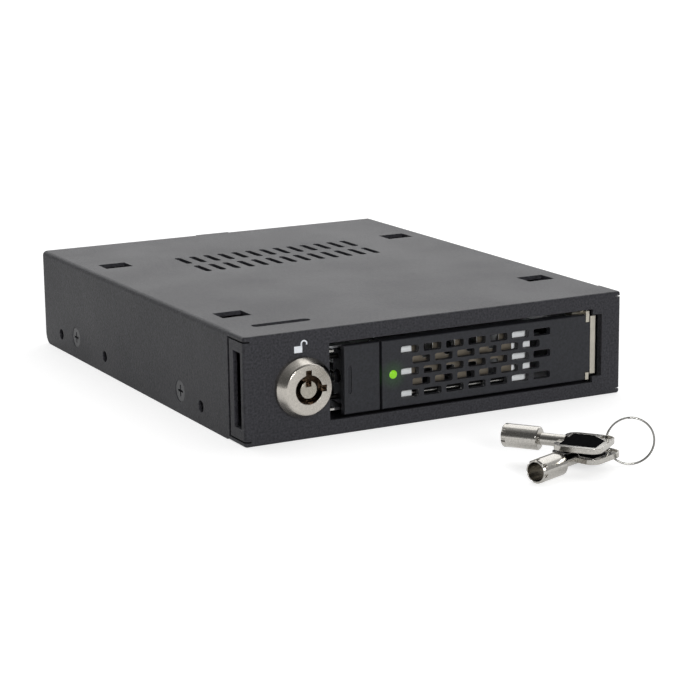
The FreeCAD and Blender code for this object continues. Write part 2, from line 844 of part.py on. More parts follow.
def make_rail(label, sign):
    """Moulded runner: foot, upright web and the ledge that the tray slides on."""
    body = new_body(label)

    def across(text):
        return "bay_offset %s (window_width / 2 + rail_inset + (%s))" % (sign, text)

    profile = front_sketch(body, behind("rail_start"))
    draw_outline(profile, [
        (across("-rail_ledge"), "chassis_sheet"),
        (across("rail_web + rail_foot"), "chassis_sheet"),
        (across("rail_web + rail_foot"), "chassis_sheet + rail_foot_height"),
        (across("rail_web"), "chassis_sheet + rail_foot_height"),
        (across("rail_web"), "rail_top"),
        (across("0"), "rail_top"),
        (across("0"), LEDGE_TOP),
        (across("-rail_ledge"), LEDGE_TOP),
    ])
    pad(body, profile, "rail_end - rail_start", backwards=True)
    block = flat_sketch(body, BLOCK_BASE)
    ends = (behind("rail_end - rail_block_length"), behind("rail_end"))
    spans = (across("0"), across("rail_web + rail_block"))
    left, right = spans if sign == "+" else reversed(spans)
    draw_rectangle(block, left, right, *ends)
    pad(body, block, "rail_top - (%s)" % BLOCK_BASE)
    pilot = front_sketch(body, behind("rail_end"))
    draw_circle(pilot, across("(rail_web + rail_block) / 2"), "board_screw_rise", "board_screw_radius")
    pocket(body, pilot, "rail_block_length", backwards=True)
    feet = flat_sketch(body, "chassis_sheet")
    for depth in ("front_rail_screw", "rear_rail_screw"):
        draw_circle(feet, across("rail_web + rail_foot / 2"), behind(depth), "rail_screw_radius")
    pocket(body, feet, "rail_foot_height", backwards=True)
    return keep(body, label)


def box(name, corner, size):
    """Block with its lowest corner and its size given by formulas."""
    node = doc.addObject("Part::Box", name)
    for prop, text in zip(("Length", "Width", "Height"), size):
        bind(node, prop, text)
    return place(node, *corner)


TURNS = {
    "x": Rotation(Vector(0, 1, 0), 90),
    "y": Rotation(Vector(1, 0, 0), -90),
    "z": Rotation(),
}


def rod(name, axis, start, radius, length):
    """Cylinder from a start point along an axis of the frame."""
    node = doc.addObject("Part::Cylinder", name)
    bind(node, "Radius", radius)
    bind(node, "Height", length)
    return place(node, *start, rotation=TURNS[axis])


def join(name, parts):
    node = doc.addObject("Part::MultiFuse", name)
    node.Shapes = parts
    return node


def subtract(name, base, tools):
    """Base with tools cut out of it; fails if a tool misses."""
    node = doc.addObject("Part::Cut", name)
    node.Base = base
    node.Tool = tools[0] if len(tools) == 1 else join(name + "_tools", tools)
    doc.recompute()
    if node.Shape.Volume >= base.Shape.Volume:
        raise RuntimeError("%s cuts nothing" % name)
    return node


BOARD_HALF = "(window_width / 2 + rail_inset + rail_web + rail_block)"
SCREW_X = tuple("bay_offset %s (window_width / 2 + rail_inset + (rail_web + rail_block) / 2)" % sign
                for sign in "-+")


def make_backplane():
    """Upright circuit board with the drive socket in front, two ports behind, a lamp and its screws."""
    rear_face = behind("rail_end + board_sheet")
    slab = box("board_slab", ("bay_offset - " + BOARD_HALF, behind("rail_end"), "board_base"),
               ("2 * " + BOARD_HALF, "board_sheet", "board_top - board_base"))
    holes = [rod("board_hole", "y", (x, behind("rail_end"), "board_screw_rise"),
                 "board_screw_radius + slide_clearance", "board_sheet") for x in SCREW_X]
    keep(subtract("backplane", slab, holes), "backplane_board")

    socket = new_body("drive_socket")
    shell = front_sketch(socket, behind("rail_end"))
    middle = "bay_offset + socket_offset"
    draw_centred_rectangle(shell, middle, "socket_rise", "socket_width", "socket_height")
    pad(socket, shell, "socket_depth")
    mouths = front_sketch(socket, behind("rail_end - socket_depth"))
    tongues = front_sketch(socket, behind("rail_end - socket_depth + socket_wall"))
    for half in ("data", "power"):
        width = "socket_%s_width" % half
        x = "%s + socket_%s_offset" % (middle, half)
        draw_centred_rectangle(mouths, x, "socket_rise", width, "socket_height - 2 * socket_wall")
        draw_centred_rectangle(tongues, x, "socket_rise", width + " - 2 * socket_wall", "tongue_sheet")
    pocket(socket, mouths, "socket_depth - socket_wall")
    pad(socket, tongues, "socket_depth - 2 * socket_wall", backwards=True)
    keep(socket, "drive_socket")

    for label, offset, width in (("data_port", "data_port_offset", "data_port_width"),
                                 ("power_port", "power_port_offset", "power_port_width")):
        port = new_body(label)
        x = "bay_offset + " + offset
        shell = front_sketch(port, rear_face)
        draw_centred_rectangle(shell, x, "port_rise", width, "port_body_height")
        pad(port, shell, "port_body_depth", backwards=True)
        mouth = front_sketch(port, rear_face + " + port_body_depth")
        draw_centred_rectangle(mouth, x, "port_rise", width + " - 2 * port_wall",
                               "port_body_height - 2 * port_wall")
        pocket(port, mouth, "port_body_depth - port_wall", backwards=True)
        tongue = front_sketch(port, rear_face + " + port_wall")
        draw_centred_rectangle(tongue, x, "port_rise", width + " - 4 * port_wall", "tongue_sheet")
        pad(port, tongue, "port_body_depth - 2 * port_wall", backwards=True)
        keep(port, label)

    corner = (PIPE_X + " - pipe_width / 2", behind("rail_end - lamp_depth"), PIPE_Z + " - pipe_height / 2")
    lamp = box("lamp", corner,
               ("pipe_width", "lamp_depth", "pipe_height"))
    keep(lamp, "status_led")
    parts = []
    for x in SCREW_X:
        parts.append(join("board_screw", [
            rod("board_screw_shank", "y", (x, behind("rail_end - board_screw_reach"), "board_screw_rise"),
                "board_screw_radius", "board_screw_reach + board_sheet"),
            rod("board_screw_top", "y", (x, rear_face, "board_screw_rise"), "board_screw_head",
                "board_screw_cap"),
        ]))
    doc.recompute()
    across = measure(SCREW_X[1]) - measure(SCREW_X[0])
    beside = FreeCAD.Placement(Vector(across, 0, 0), Rotation())
    copies("board_screws", parts[0], [FreeCAD.Placement(), beside])


# ---------------------------------------------------------------- screws


SUNK_HEAD = "screw_head_radius - (screw_head_radius - screw_radius) * screw_sink / screw_head_depth"


def make_side_screws():
    """Four countersunk cross-head screws that hold the cover to the chassis."""
    screw = new_body("side_screw")
    profile = flat_sketch(screw)
    draw_outline(profile, [
        ("0", "screw_sink"),
        (SUNK_HEAD, "screw_sink"),
        ("screw_radius", "screw_head_depth"),
        ("screw_radius", "cover_sheet"),
        ("screw_thread_radius", "cover_sheet + sheet_gap"),
        ("screw_thread_radius", "screw_length"),
        ("0", "screw_length"),
    ])
    revolve(screw, profile)
    cross = front_sketch(screw)
    draw_centred_rectangle(cross, "0", "0", "2 * recess_reach", "recess_width")
    pocket(screw, cross, "recess_depth")
    upright = front_sketch(screw)
    draw_centred_rectangle(upright, "0", "0", "recess_width", "2 * recess_reach")
    pocket(screw, upright, "recess_depth")
    half = measure(HALF)
    rise = measure("screw_rise")
    placements = []
    for side in (-1, 1):
        turn = Rotation(Vector(0, 0, 1), side * 90)
        for depth in SCREW_DEPTHS:
            placements.append(FreeCAD.Placement(Vector(side * half, measure(behind(depth)), rise), turn))
    copies("side_screws", screw, placements)


def make_rail_screws():
    """Four countersunk screws that come up through the floor into the feet of the rails."""
    screw = new_body("rail_screw")
    profile = front_sketch(screw)
    draw_outline(profile, [
        ("0", "0"),
        ("rail_screw_head", "0"),
        ("rail_screw_head", "chassis_sheet"),
        ("rail_screw_radius", "chassis_sheet"),
        ("rail_screw_radius", "rail_screw_length"),
        ("0", "rail_screw_length"),
    ])
    revolve(screw, profile)
    cross = flat_sketch(screw)
    draw_centred_rectangle(cross, "0", "0", "2 * recess_reach", "recess_width")
    pocket(screw, cross, "recess_depth", backwards=True)
    placements = []
    for x in RAIL_SCREW_PLACES:
        for depth in ("front_rail_screw", "rear_rail_screw"):
            placements.append(FreeCAD.Placement(Vector(measure(x), measure(behind(depth)), 0), Rotation()))
    copies("rail_screws", screw, placements)


# ---------------------------------------------------------------- tray


TRAY_HALF = "(window_width / 2 - tray_gap)"
TRAY_LEFT = "(bay_offset - window_width / 2 + tray_gap)"
TRAY_RIGHT = "(bay_offset + window_width / 2 - tray_gap)"
TRAY_WALL_END = "tray_wall_depth + tray_sheet"
LUG_LEFT = "pivot_offset - ear_radius"
LUG_RIGHT = "pivot_offset + lug_radius"
FACE_MIDDLE = "(face_base + face_height / 2)"
PIPE_X = "(bay_offset - window_width / 2 + tray_gap + pipe_width / 2 + slide_clearance)"
PIPE_Z = "(pipe_rise + pipe_height / 2)"


def lug_outline():
    """Front edge of the tray's floor and roof from the left corner to the right side wall."""
    return [
        (TRAY_LEFT, behind("tray_front")),
        (LUG_LEFT, behind("tray_front")),
        (LUG_LEFT, behind("pivot_depth - lug_radius")),
        (LUG_RIGHT, behind("pivot_depth - lug_radius")),
        (LUG_RIGHT, behind("pivot_depth + lug_radius")),
        (LUG_LEFT, behind("pivot_depth + lug_radius")),
        (LUG_LEFT, behind("tray_side_start")),
        (TRAY_RIGHT, behind("tray_side_start")),
    ]


def make_tray():
    """Folded steel tray: floor, low sides, front wall and a roof over the latch."""
    body = new_body("tray_frame")
    floor = flat_sketch(body, "tray_base")
    draw_outline(floor, lug_outline() + [(TRAY_RIGHT, behind("tray_end")), (TRAY_LEFT, behind("tray_end"))])
    pad(body, floor, "tray_sheet")
    sides = flat_sketch(body, "tray_base")
    draw_rectangle(sides, TRAY_LEFT, TRAY_LEFT + " + tray_sheet", behind(TRAY_WALL_END), behind("tray_end"))
    draw_rectangle(sides, TRAY_RIGHT + " - tray_sheet", TRAY_RIGHT, behind(TRAY_WALL_END), behind("tray_end"))
    pad(body, sides, "tray_side_height")
    wall = flat_sketch(body, "tray_base")
    draw_outline(wall, [
        (TRAY_LEFT, behind("cam_notch_end")),
        (TRAY_LEFT + " + tray_sheet", behind("cam_notch_end")),
        (TRAY_LEFT + " + tray_sheet", behind("tray_wall_depth")),
        (TRAY_RIGHT + " - tray_sheet", behind("tray_wall_depth")),
        (TRAY_RIGHT + " - tray_sheet", behind("tray_side_start")),
        (TRAY_RIGHT, behind("tray_side_start")),
        (TRAY_RIGHT, behind(TRAY_WALL_END)),
        (TRAY_LEFT, behind(TRAY_WALL_END)),
    ])
    pad(body, wall, "tray_roof - tray_base")
    cheek = flat_sketch(body, "tray_base")
    draw_rectangle(cheek, TRAY_LEFT, TRAY_LEFT + " + tray_sheet", behind("tray_front"),
                   behind("cam_notch_start"))
    pad(body, cheek, "tray_roof - tray_base")
    roof = flat_sketch(body, "tray_roof - tray_sheet")
    draw_outline(roof, lug_outline() + [
        (TRAY_RIGHT, behind(TRAY_WALL_END)),
        (TRAY_LEFT, behind(TRAY_WALL_END)),
        (TRAY_LEFT, behind("cam_notch_end")),
        (TRAY_LEFT + " + cam_notch_reach", behind("cam_notch_end")),
        (TRAY_LEFT + " + cam_notch_reach", behind("cam_notch_start")),
        (TRAY_LEFT, behind("cam_notch_start")),
    ])
    pad(body, roof, "tray_sheet")
    lug_right = measure(LUG_RIGHT)
    fillet(body, lambda a, b: same(a.x, lug_right) and same(b.x, lug_right) and same(a.y, b.y),
           "lug_radius - slide_clearance")

    pins = flat_sketch(body, "tray_roof")
    draw_circle(pins, "pivot_offset", behind("pivot_depth"), "pin_radius")
    pocket(body, pins, "tray_roof - tray_base")
    slot = flat_sketch(body, "tray_base + tray_sheet")
    draw_slot(slot, "bay_offset - tray_slot_pitch * (tray_slot_count - 1) / 2", behind(DRIVE_MIDDLE),
              "tray_slot_length", "tray_slot_width", upright=True)
    first = pocket(body, slot, "tray_sheet")
    repeat(body, first, "X_Axis", "tray_slot_pitch", "tray_slot_count")
    bores = flat_sketch(body, "tray_base + tray_sheet")
    for sign in "-+":
        for depth in ("drive_front_hole", "drive_front_hole + drive_hole_run"):
            x = "bay_offset %s drive_hole_pitch / 2" % sign
            draw_circle(bores, x, behind(depth), "drive_hole_radius")
    pocket(body, bores, "tray_sheet")
    breather = front_sketch(body, behind("tray_wall_depth"))
    draw_slot(breather, "bay_offset - wall_slot_pitch * (wall_slot_count - 1) / 2", FACE_MIDDLE,
              "wall_slot_height", "wall_slot_width", upright=True)
    first = pocket(body, breather, "tray_sheet")
    repeat(body, first, "X_Axis", "wall_slot_pitch", "wall_slot_count")
    passage = flat_sketch(body, "tray_roof")
    room = "pipe_width + 2 * pipe_clearance"
    draw_centred_rectangle(passage, "lens_offset", behind("pipe_turn_depth"), room, room)
    pocket(body, passage, "tray_sheet")
    guides = side_sketch(body, TRAY_LEFT)
    for rise in GUIDE_RISES:
        draw_circle(guides, behind("guide_pin_depth"), rise, "guide_pin_radius")
    pocket(body, guides, "tray_sheet", backwards=True)
    return keep(body, "tray_frame")


DRIVE_MIDDLE = "(drive_front_hole + drive_hole_run / 2)"
GUIDE_RISES = tuple("%s %s guide_pin_spread / 2" % (FACE_MIDDLE, sign) for sign in "-+")
BRACKET_FACE = "bracket_offset"


def make_latch_fittings():
    """Bracket, guide pins and return spring of the release button."""
    inside = "tray_base + tray_sheet"
    inner_height = "tray_roof - tray_base - 2 * tray_sheet"
    plate = box("bracket_plate", ("bracket_offset", behind("bracket_depth"), inside),
                ("tray_sheet", "tray_wall_depth - bracket_depth", inner_height))
    foot = box("bracket_foot", ("bracket_offset", behind("tray_wall_depth - tray_sheet"), inside),
               ("bracket_foot", "tray_sheet", inner_height))
    holes = [rod("bracket_hole", "x", ("bracket_offset", behind("guide_pin_depth"), rise), "guide_pin_radius",
                 "tray_sheet") for rise in GUIDE_RISES]
    keep(subtract("bracket", join("bracket_blank", [plate, foot]), holes), "latch_bracket")

    low = rod("guide_pin", "x", (TRAY_LEFT, behind("guide_pin_depth"), GUIDE_RISES[0]), "guide_pin_radius",
              "bracket_offset + tray_sheet - " + TRAY_LEFT)
    doc.recompute()
    up = FreeCAD.Placement(Vector(0, 0, measure("guide_pin_spread")), Rotation())
    copies("guide_pins", low, [FreeCAD.Placement(), up])
    spring = coil("latch_spring_coil", "spring_radius", "spring_wire", "spring_length", "spring_turns")
    foot = (TRAY_LEFT + " + tray_sheet", behind("guide_pin_depth"), FACE_MIDDLE)
    spring.Placement = FreeCAD.Placement(Vector(*[measure(text) for text in foot]), TURNS["x"])
    keep(spring, "latch_spring")


def coil(name, radius, wire, length, turns):
    """Compression spring along its own Z, with its ends flush with the stated length."""
    wire_size = measure(wire)
    mean = measure(radius) - wire_size / 2
    travel = measure(length) - wire_size
    helix = Part.makeHelix(travel / measure(turns), travel, mean)
    section = Part.Wire(Part.makeCircle(wire_size / 2, Vector(mean, 0, 0), Vector(0, 1, 0)))
    node = doc.addObject("Part::Feature", name)
    swept = Part.Wire(helix).makePipeShell([section], True, True)
    swept.translate(Vector(0, 0, wire_size / 2))
    node.Shape = swept
    return node


def make_light_pipe():
    """Clear rod that brings the status lamp's light from the backplane to the face."""
    stops = [
        (PIPE_X, behind("rail_end - lamp_gap"), PIPE_Z),
        (PIPE_X, behind("pipe_turn_depth"), PIPE_Z),
        ("lens_offset", behind("pipe_turn_depth"), PIPE_Z),
        ("lens_offset", behind("pipe_turn_depth"), "lens_rise"),
        ("lens_offset", behind("lever_depth + pipe_clearance"), "lens_rise"),
    ]
    points = [Vector(*[measure(text) for text in stop]) for stop in stops]
    bend = measure("pipe_bend")
    edges = []
    start = points[0]
    for before, corner, after in zip(points, points[1:], points[2:]):
        backward = (before - corner).normalize()
        forward = (after - corner).normalize()
        entry = corner + backward * bend
        leave = corner + forward * bend
        centre = entry + forward * bend
        halfway = centre + (corner - centre).normalize() * bend
        edges.append(Part.makeLine(start, entry))
        edges.append(Part.Arc(entry, halfway, leave).toShape())
        start = leave
    edges.append(Part.makeLine(start, points[-1]))
    across = measure("pipe_width") / 2
    up = measure("pipe_height") / 2
    end = points[0]
    section = Part.makePolygon([end + Vector(x, 0, z) for x, z in
                                ((-across, -up), (across, -up), (across, up), (-across, up), (-across, -up))])
    node = doc.addObject("Part::Feature", "pipe_run")
    node.Shape = Part.Wire(edges).makePipeShell([section], True, False)
    keep(node, "light_pipe")


# ---------------------------------------------------------------- release button


BUTTON_LEFT = "(bay_offset - window_width / 2 + button_start)"
BUTTON_RIGHT = "(bay_offset - window_width / 2 + button_start + button_width)"
FACE_TOP = "(face_base + face_height)"
FACE_BACK = "face_recess + face_sheet"


def make_button():
    """Sliding button that covers the left end of the tray's face."""
    body = new_body("release_button")
    face = front_sketch(body, behind("face_recess"))
    draw_rectangle(face, BUTTON_LEFT, BUTTON_RIGHT, "face_base", FACE_TOP)
    pad(body, face, "face_sheet", backwards=True)
    front = measure(behind("face_recess"))
    fillet(body, lambda a, b: same(a.y, front) and same(b.y, front), "face_edge")
    block = front_sketch(body, behind(FACE_BACK))
    draw_centred_rectangle(block, "(%s + %s) / 2" % (BUTTON_LEFT, BUTTON_RIGHT), FACE_MIDDLE,
                           "button_width - 2 * button_shoulder", "button_block_height")
    pad(body, block, "button_depth", backwards=True)
    groove = front_sketch(body, behind("face_recess"))
    draw_slot(groove, BUTTON_LEFT + " + button_groove_inset", FACE_MIDDLE, "button_groove_height",
              "button_groove_width", upright=True)
    pocket(body, groove, "button_groove_sink")
    guides = side_sketch(body, BUTTON_LEFT + " + button_shoulder")
    for rise in GUIDE_RISES:
        draw_circle(guides, behind("guide_pin_depth"), rise, "guide_pin_radius + slide_clearance")
    pocket(body, guides, "button_width - 2 * button_shoulder", backwards=True)
    nest = side_sketch(body, BUTTON_LEFT + " + button_shoulder")
    draw_circle(nest, behind("guide_pin_depth"), FACE_MIDDLE, "spring_radius + 4 * slide_clearance")
    pocket(body, nest, "%s + tray_sheet + spring_length - (%s + button_shoulder)" % (TRAY_LEFT, BUTTON_LEFT),
           backwards=True)
    return keep(body, "release_button")


# ---------------------------------------------------------------- lever


LEVER_LEFT = "(bay_offset - window_width / 2 + button_start + button_width + face_gap)"
LEVER_RIGHT = "(bay_offset + window_width / 2 - lever_end)"
TIP_LEFT = "pivot_offset + hook_web_offset + hook_web - ear_tip_width"


def make_lever():
    """Perforated plastic front of the lever, with a rim behind it."""
    body = new_body("lever_grille")
    corner_left = TIP_LEFT + " - slide_clearance"
    face = front_sketch(body, behind("face_recess"))
    draw_outline(face, [
        (LEVER_LEFT, "face_base"),
        (corner_left, "face_base"),
        (corner_left, "face_base + ear_tip_height"),
        (LEVER_RIGHT, "face_base + ear_tip_height"),
        (LEVER_RIGHT, FACE_TOP + " - ear_tip_height"),
        (corner_left, FACE_TOP + " - ear_tip_height"),
        (corner_left, FACE_TOP),
        (LEVER_LEFT, FACE_TOP),
    ])
    pad(body, face, "face_sheet", backwards=True)
    front = measure(behind("face_recess"))
    fillet(body, lambda a, b: same(a.y, front) and same(b.y, front), "face_edge")
    rim = front_sketch(body, behind(FACE_BACK))
    draw_outline(rim, [
        (LEVER_LEFT, "face_base"),
        ("lever_rim_end", "face_base"),
        ("lever_rim_end", "face_base + lever_rim"),
        (LEVER_LEFT + " + lever_rim", "face_base + lever_rim"),
        (LEVER_LEFT + " + lever_rim", FACE_TOP + " - lever_rim"),
        ("lever_rim_end", FACE_TOP + " - lever_rim"),
        ("lever_rim_end", FACE_TOP),
        (LEVER_LEFT, FACE_TOP),
    ])
    pad(body, rim, "lever_depth - face_recess - face_sheet", backwards=True)
    wide_rows = ("(grille_rows + 1) / 2", "grille_count")
    narrow_rows = ("(grille_rows - 1) / 2", "(grille_count - 1)")
    for rows, columns in (wide_rows, narrow_rows):
        slot = front_sketch(body, behind("face_recess"))
        draw_rounded_rectangle(slot, "grille_offset - grille_pitch * (%s - 1) / 2" % columns,
                               "grille_rise - grille_row_pitch * (%s - 1)" % rows,
                               "grille_slot_length", "grille_slot_height", "grille_slot_corner")
        first = pocket(body, slot, "face_sheet")
        repeat(body, first, "X_Axis", "grille_pitch", columns, ("Z_Axis", "2 * grille_row_pitch", rows))
    eye = front_sketch(body, behind("face_recess"))
    draw_circle(eye, "lens_offset", "lens_rise", "lens_radius")
    pocket(body, eye, "face_sheet")
    return keep(body, "lever_grille")


def make_screen():
    """Perforated steel sheet that lies in the rim, behind the slots."""
    body = new_body("grille_screen")
    blank = front_sketch(body, behind("screen_depth"))
    draw_rectangle(blank, "screen_left", "screen_right", "face_base + lever_rim", FACE_TOP + " - lever_rim")
    pad(body, blank, "screen_sheet", backwards=True)
    hole = front_sketch(body, behind("screen_depth"))
    draw_rounded_rectangle(hole, "screen_offset - screen_pitch * (screen_columns - 1) / 2",
                           "screen_hole_rise", "screen_hole_width", "screen_hole_height",
                           "screen_hole_corner")
    first = pocket(body, hole, "screen_sheet")
    upwards = ("Z_Axis", "screen_row_pitch", "screen_rows")
    repeat(body, first, "X_Axis", "screen_pitch", "screen_columns", upwards)
    return keep(body, "grille_screen")


def make_hook():
    """Steel heel of the lever: two ears on the pin and a bar that levers against the window's notch."""
    body = new_body("lever_hook")
    web_left = "pivot_offset + hook_web_offset"
    web_right = web_left + " + hook_web"
    bar_left = web_right + " + hook_bar_gap"
    bar_right = bar_left + " + hook_bar_width"
    bar = flat_sketch(body, "hook_bar_base")
    draw_outline(bar, [
        (web_left, behind(FACE_BACK)),
        (bar_left, behind(FACE_BACK)),
        (bar_left, behind("hook_front")),
        (bar_right, behind("hook_front")),
        (bar_right, behind(FACE_BACK + " + hook_web")),
        (web_right, behind(FACE_BACK + " + hook_web")),
        (web_right, behind(HOOK_BACK)),
        (web_left, behind(HOOK_BACK)),
    ])
    pad(body, bar, "hook_bar_height")
    for low, height in ((LOW_EAR, "hook_bar_base + hook_web - (%s)" % LOW_EAR),
                        ("hook_bar_base + hook_bar_height - hook_web",
                         "%s + ear_sheet - (hook_bar_base + hook_bar_height - hook_web)" % HIGH_EAR)):
        upright = flat_sketch(body, low)
        draw_rectangle(upright, web_left, web_right, behind(FACE_BACK), behind(HOOK_BACK))
        pad(body, upright, height)
    for low in (LOW_EAR, HIGH_EAR):
        ear = flat_sketch(body, low)
        draw_rectangle(ear, LUG_LEFT, web_right, behind("pivot_depth - ear_radius"), behind(HOOK_BACK))
        pad(body, ear, "ear_sheet")
    for low, high in (("face_base", "face_base + ear_tip_height - slide_clearance"),
                      (FACE_TOP + " - ear_tip_height + slide_clearance", FACE_TOP + " + ear_tip_proud")):
        tip = flat_sketch(body, low)
        draw_rectangle(tip, TIP_LEFT, web_right, behind("face_recess + slide_clearance"),
                       behind(FACE_BACK + " + hook_web"))
        pad(body, tip, "(%s) - (%s)" % (high, low))
    for low in (LOW_EAR, HIGH_EAR):
        eye = flat_sketch(body, low)
        draw_circle(eye, "pivot_offset", behind("pivot_depth"), "pin_radius + slide_clearance")
        pocket(body, eye, "ear_sheet", backwards=True)
    return keep(body, "lever_hook")


LOW_EAR = "(tray_base + tray_sheet + ear_gap)"
HIGH_EAR = "(tray_roof + ear_gap)"
HOOK_BACK = "(pivot_depth + ear_radius)"


def make_lever_fittings():
    """Hinge pin of the lever and the lens of the status lamp."""
    pin = new_body("hinge_pin")
    profile = front_sketch(pin)
    top = "%s + ear_sheet + ear_gap" % HIGH_EAR
    draw_outline(profile, [
        ("0", "tray_base"),
        ("pin_radius", "tray_base"),
        ("pin_radius", top),
        ("pin_head", top),
        ("pin_head", top + " + pin_head_height"),
        ("0", top + " + pin_head_height"),
    ])
    revolve(pin, profile)
    place(pin, "pivot_offset", behind("pivot_depth"))
    keep(pin, "hinge_pin")

    lens = new_body("status_lens")
    dome = flat_sketch(lens)
    draw_outline(dome, [
        ("0", "-lens_proud"),
        ("lens_radius * 0.6", "-lens_proud"),
        ("lens_radius", "0"),
        ("lens_radius", "lever_depth - face_recess"),
        ("0", "lever_depth - face_recess"),
    ])
    revolve(lens, dome)
    place(lens, "lens_offset", behind("face_recess"), "lens_rise")
    keep(lens, "status_lens")


# ---------------------------------------------------------------- key lock


def at_lock(node):
    """Put a piece that is drawn round its own Y axis on the axis of the lock."""
    return place(node, "lock_offset", behind("0"), "lock_rise")


def make_lock():
    """Tubular lock: housing, plug, washer, nut, cam and cam screw."""
    housing = new_body("lock_housing")
    profile = flat_sketch(housing)
    draw_outline(profile, [
        ("keyway_radius", "-lock_reach"),
        ("lock_face_radius - lock_bevel", "-lock_reach"),
        ("lock_face_radius", "-lock_reach + lock_bevel"),
        ("lock_flange_radius", "-lock_rim"),
        ("lock_flange_radius", "0"),
        ("lock_barrel_radius", "0"),
        ("lock_barrel_radius", "lock_length"),
        ("plug_radius + plug_clearance", "lock_length"),
        ("plug_radius + plug_clearance", "keyway_depth - lock_reach"),
        ("keyway_radius", "keyway_depth - lock_reach"),
    ])
    revolve(housing, profile)
    notches = front_sketch(housing, "-lock_reach")
    draw_rectangle(notches, "-key_notch_width / 2", "key_notch_width / 2", "0", "notch_reach")
    pocket(housing, notches, "key_notch_depth")
    sideways = front_sketch(housing, "-lock_reach")
    draw_rectangle(sideways, "0", "notch_reach", "-key_notch_width / 2", "key_notch_width / 2")
    pocket(housing, sideways, "key_notch_depth")
    at_lock(keep(housing, "lock_housing"))

    plug = new_body("lock_plug")
    turned = flat_sketch(plug)
    draw_outline(turned, [
        ("0", "-lock_reach + post_sink"),
        ("post_radius", "-lock_reach + post_sink"),
        ("post_radius", "keyway_depth - lock_reach + plug_clearance"),
        ("plug_radius", "keyway_depth - lock_reach + plug_clearance"),
        ("plug_radius", "lock_length + plug_clearance"),
        ("0", "lock_length + plug_clearance"),
    ])
    revolve(plug, turned)
    tail = front_sketch(plug, "lock_length + plug_clearance")
    draw_centred_rectangle(tail, "0", "0", "cam_square", "cam_square")
    pad(plug, tail, "cam_sheet", backwards=True)
    groove = front_sketch(plug, "-lock_reach + post_sink")
    draw_rectangle(groove, "-key_notch_width / 2", "key_notch_width / 2", "post_radius / 3",
                   "post_radius + post_sink")
    pocket(plug, groove, "key_notch_depth")
    at_lock(keep(plug, "lock_plug"))

    cam = new_body("lock_cam")
    arm = front_sketch(cam, "lock_length + plug_clearance")
    draw_slot(arm, "0", "(cam_reach - cam_hub_radius) / 2", "cam_reach + cam_hub_radius",
              "2 * cam_hub_radius", upright=True)
    pad(cam, arm, "cam_sheet", backwards=True)
    for side in ("-", ""):
        waist = front_sketch(cam, "lock_length + plug_clearance")
        left, right = sided(side, "cam_width / 2", "cam_hub_radius")
        draw_rectangle(waist, left, right, "cam_hub_radius", "cam_reach")
        pocket(cam, waist, "cam_sheet")
    square = front_sketch(cam, "lock_length + plug_clearance")
    draw_centred_rectangle(square, "0", "0", "cam_square", "cam_square")
    pocket(cam, square, "cam_sheet")
    at_lock(keep(cam, "lock_cam"))

    screw = new_body("cam_screw")
    head = flat_sketch(screw)
    start = "lock_length + plug_clearance + cam_sheet"
    draw_outline(head, [
        ("0", start),
        ("cam_screw_head", start),
        ("cam_screw_head", start + " + cam_screw_height / 2"),
        ("cam_screw_head * 0.7", start + " + cam_screw_height"),
        ("0", start + " + cam_screw_height"),
    ])
    revolve(screw, head)
    at_lock(keep(screw, "cam_screw"))

    washer = new_body("lock_washer")
    ring = front_sketch(washer, "cover_sheet")
    draw_circle(ring, "0", "0", "washer_radius")
    draw_circle(ring, "0", "0", "lock_barrel_radius")
    pad(washer, ring, "washer_sheet", backwards=True)
    at_lock(keep(washer, "lock_washer"))

    nut = new_body("lock_nut")
    across = "nut_flats / 2"
    half_flat = "nut_flats / 2 * tan(30 deg)"
    corner = "nut_flats / cos(30 deg) / 2"
    outline = front_sketch(nut, "cover_sheet + washer_sheet")
    draw_outline(outline, [
        (across, "-" + half_flat),
        (across, half_flat),
        ("0", corner),
        ("-" + across, half_flat),
        ("-" + across, "-" + half_flat),
        ("0", "-" + corner),
    ])
    draw_circle(outline, "0", "0", "lock_barrel_radius")
    pad(nut, outline, "nut_height", backwards=True)
    at_lock(keep(nut, "lock_nut"))


# ---------------------------------------------------------------- keys


def inlay_outline(side):
    """Inlay of a bow, with the corner next to the ring's hole cut off."""
    start = "key_barrel_length + key_shank_length + bow_border"
    end = start + " + insert_length"
    half = "(bow_width / 2 - bow_border)"
    return [
        (start, "%s * %s" % (-side, half)),
        (end, "%s * %s" % (-side, half)),
        (end, "%s * (%s - insert_corner)" % (side, half)),
        (end + " - insert_corner", "%s * %s" % (side, half)),
        (start, "%s * %s" % (side, half)),
    ]


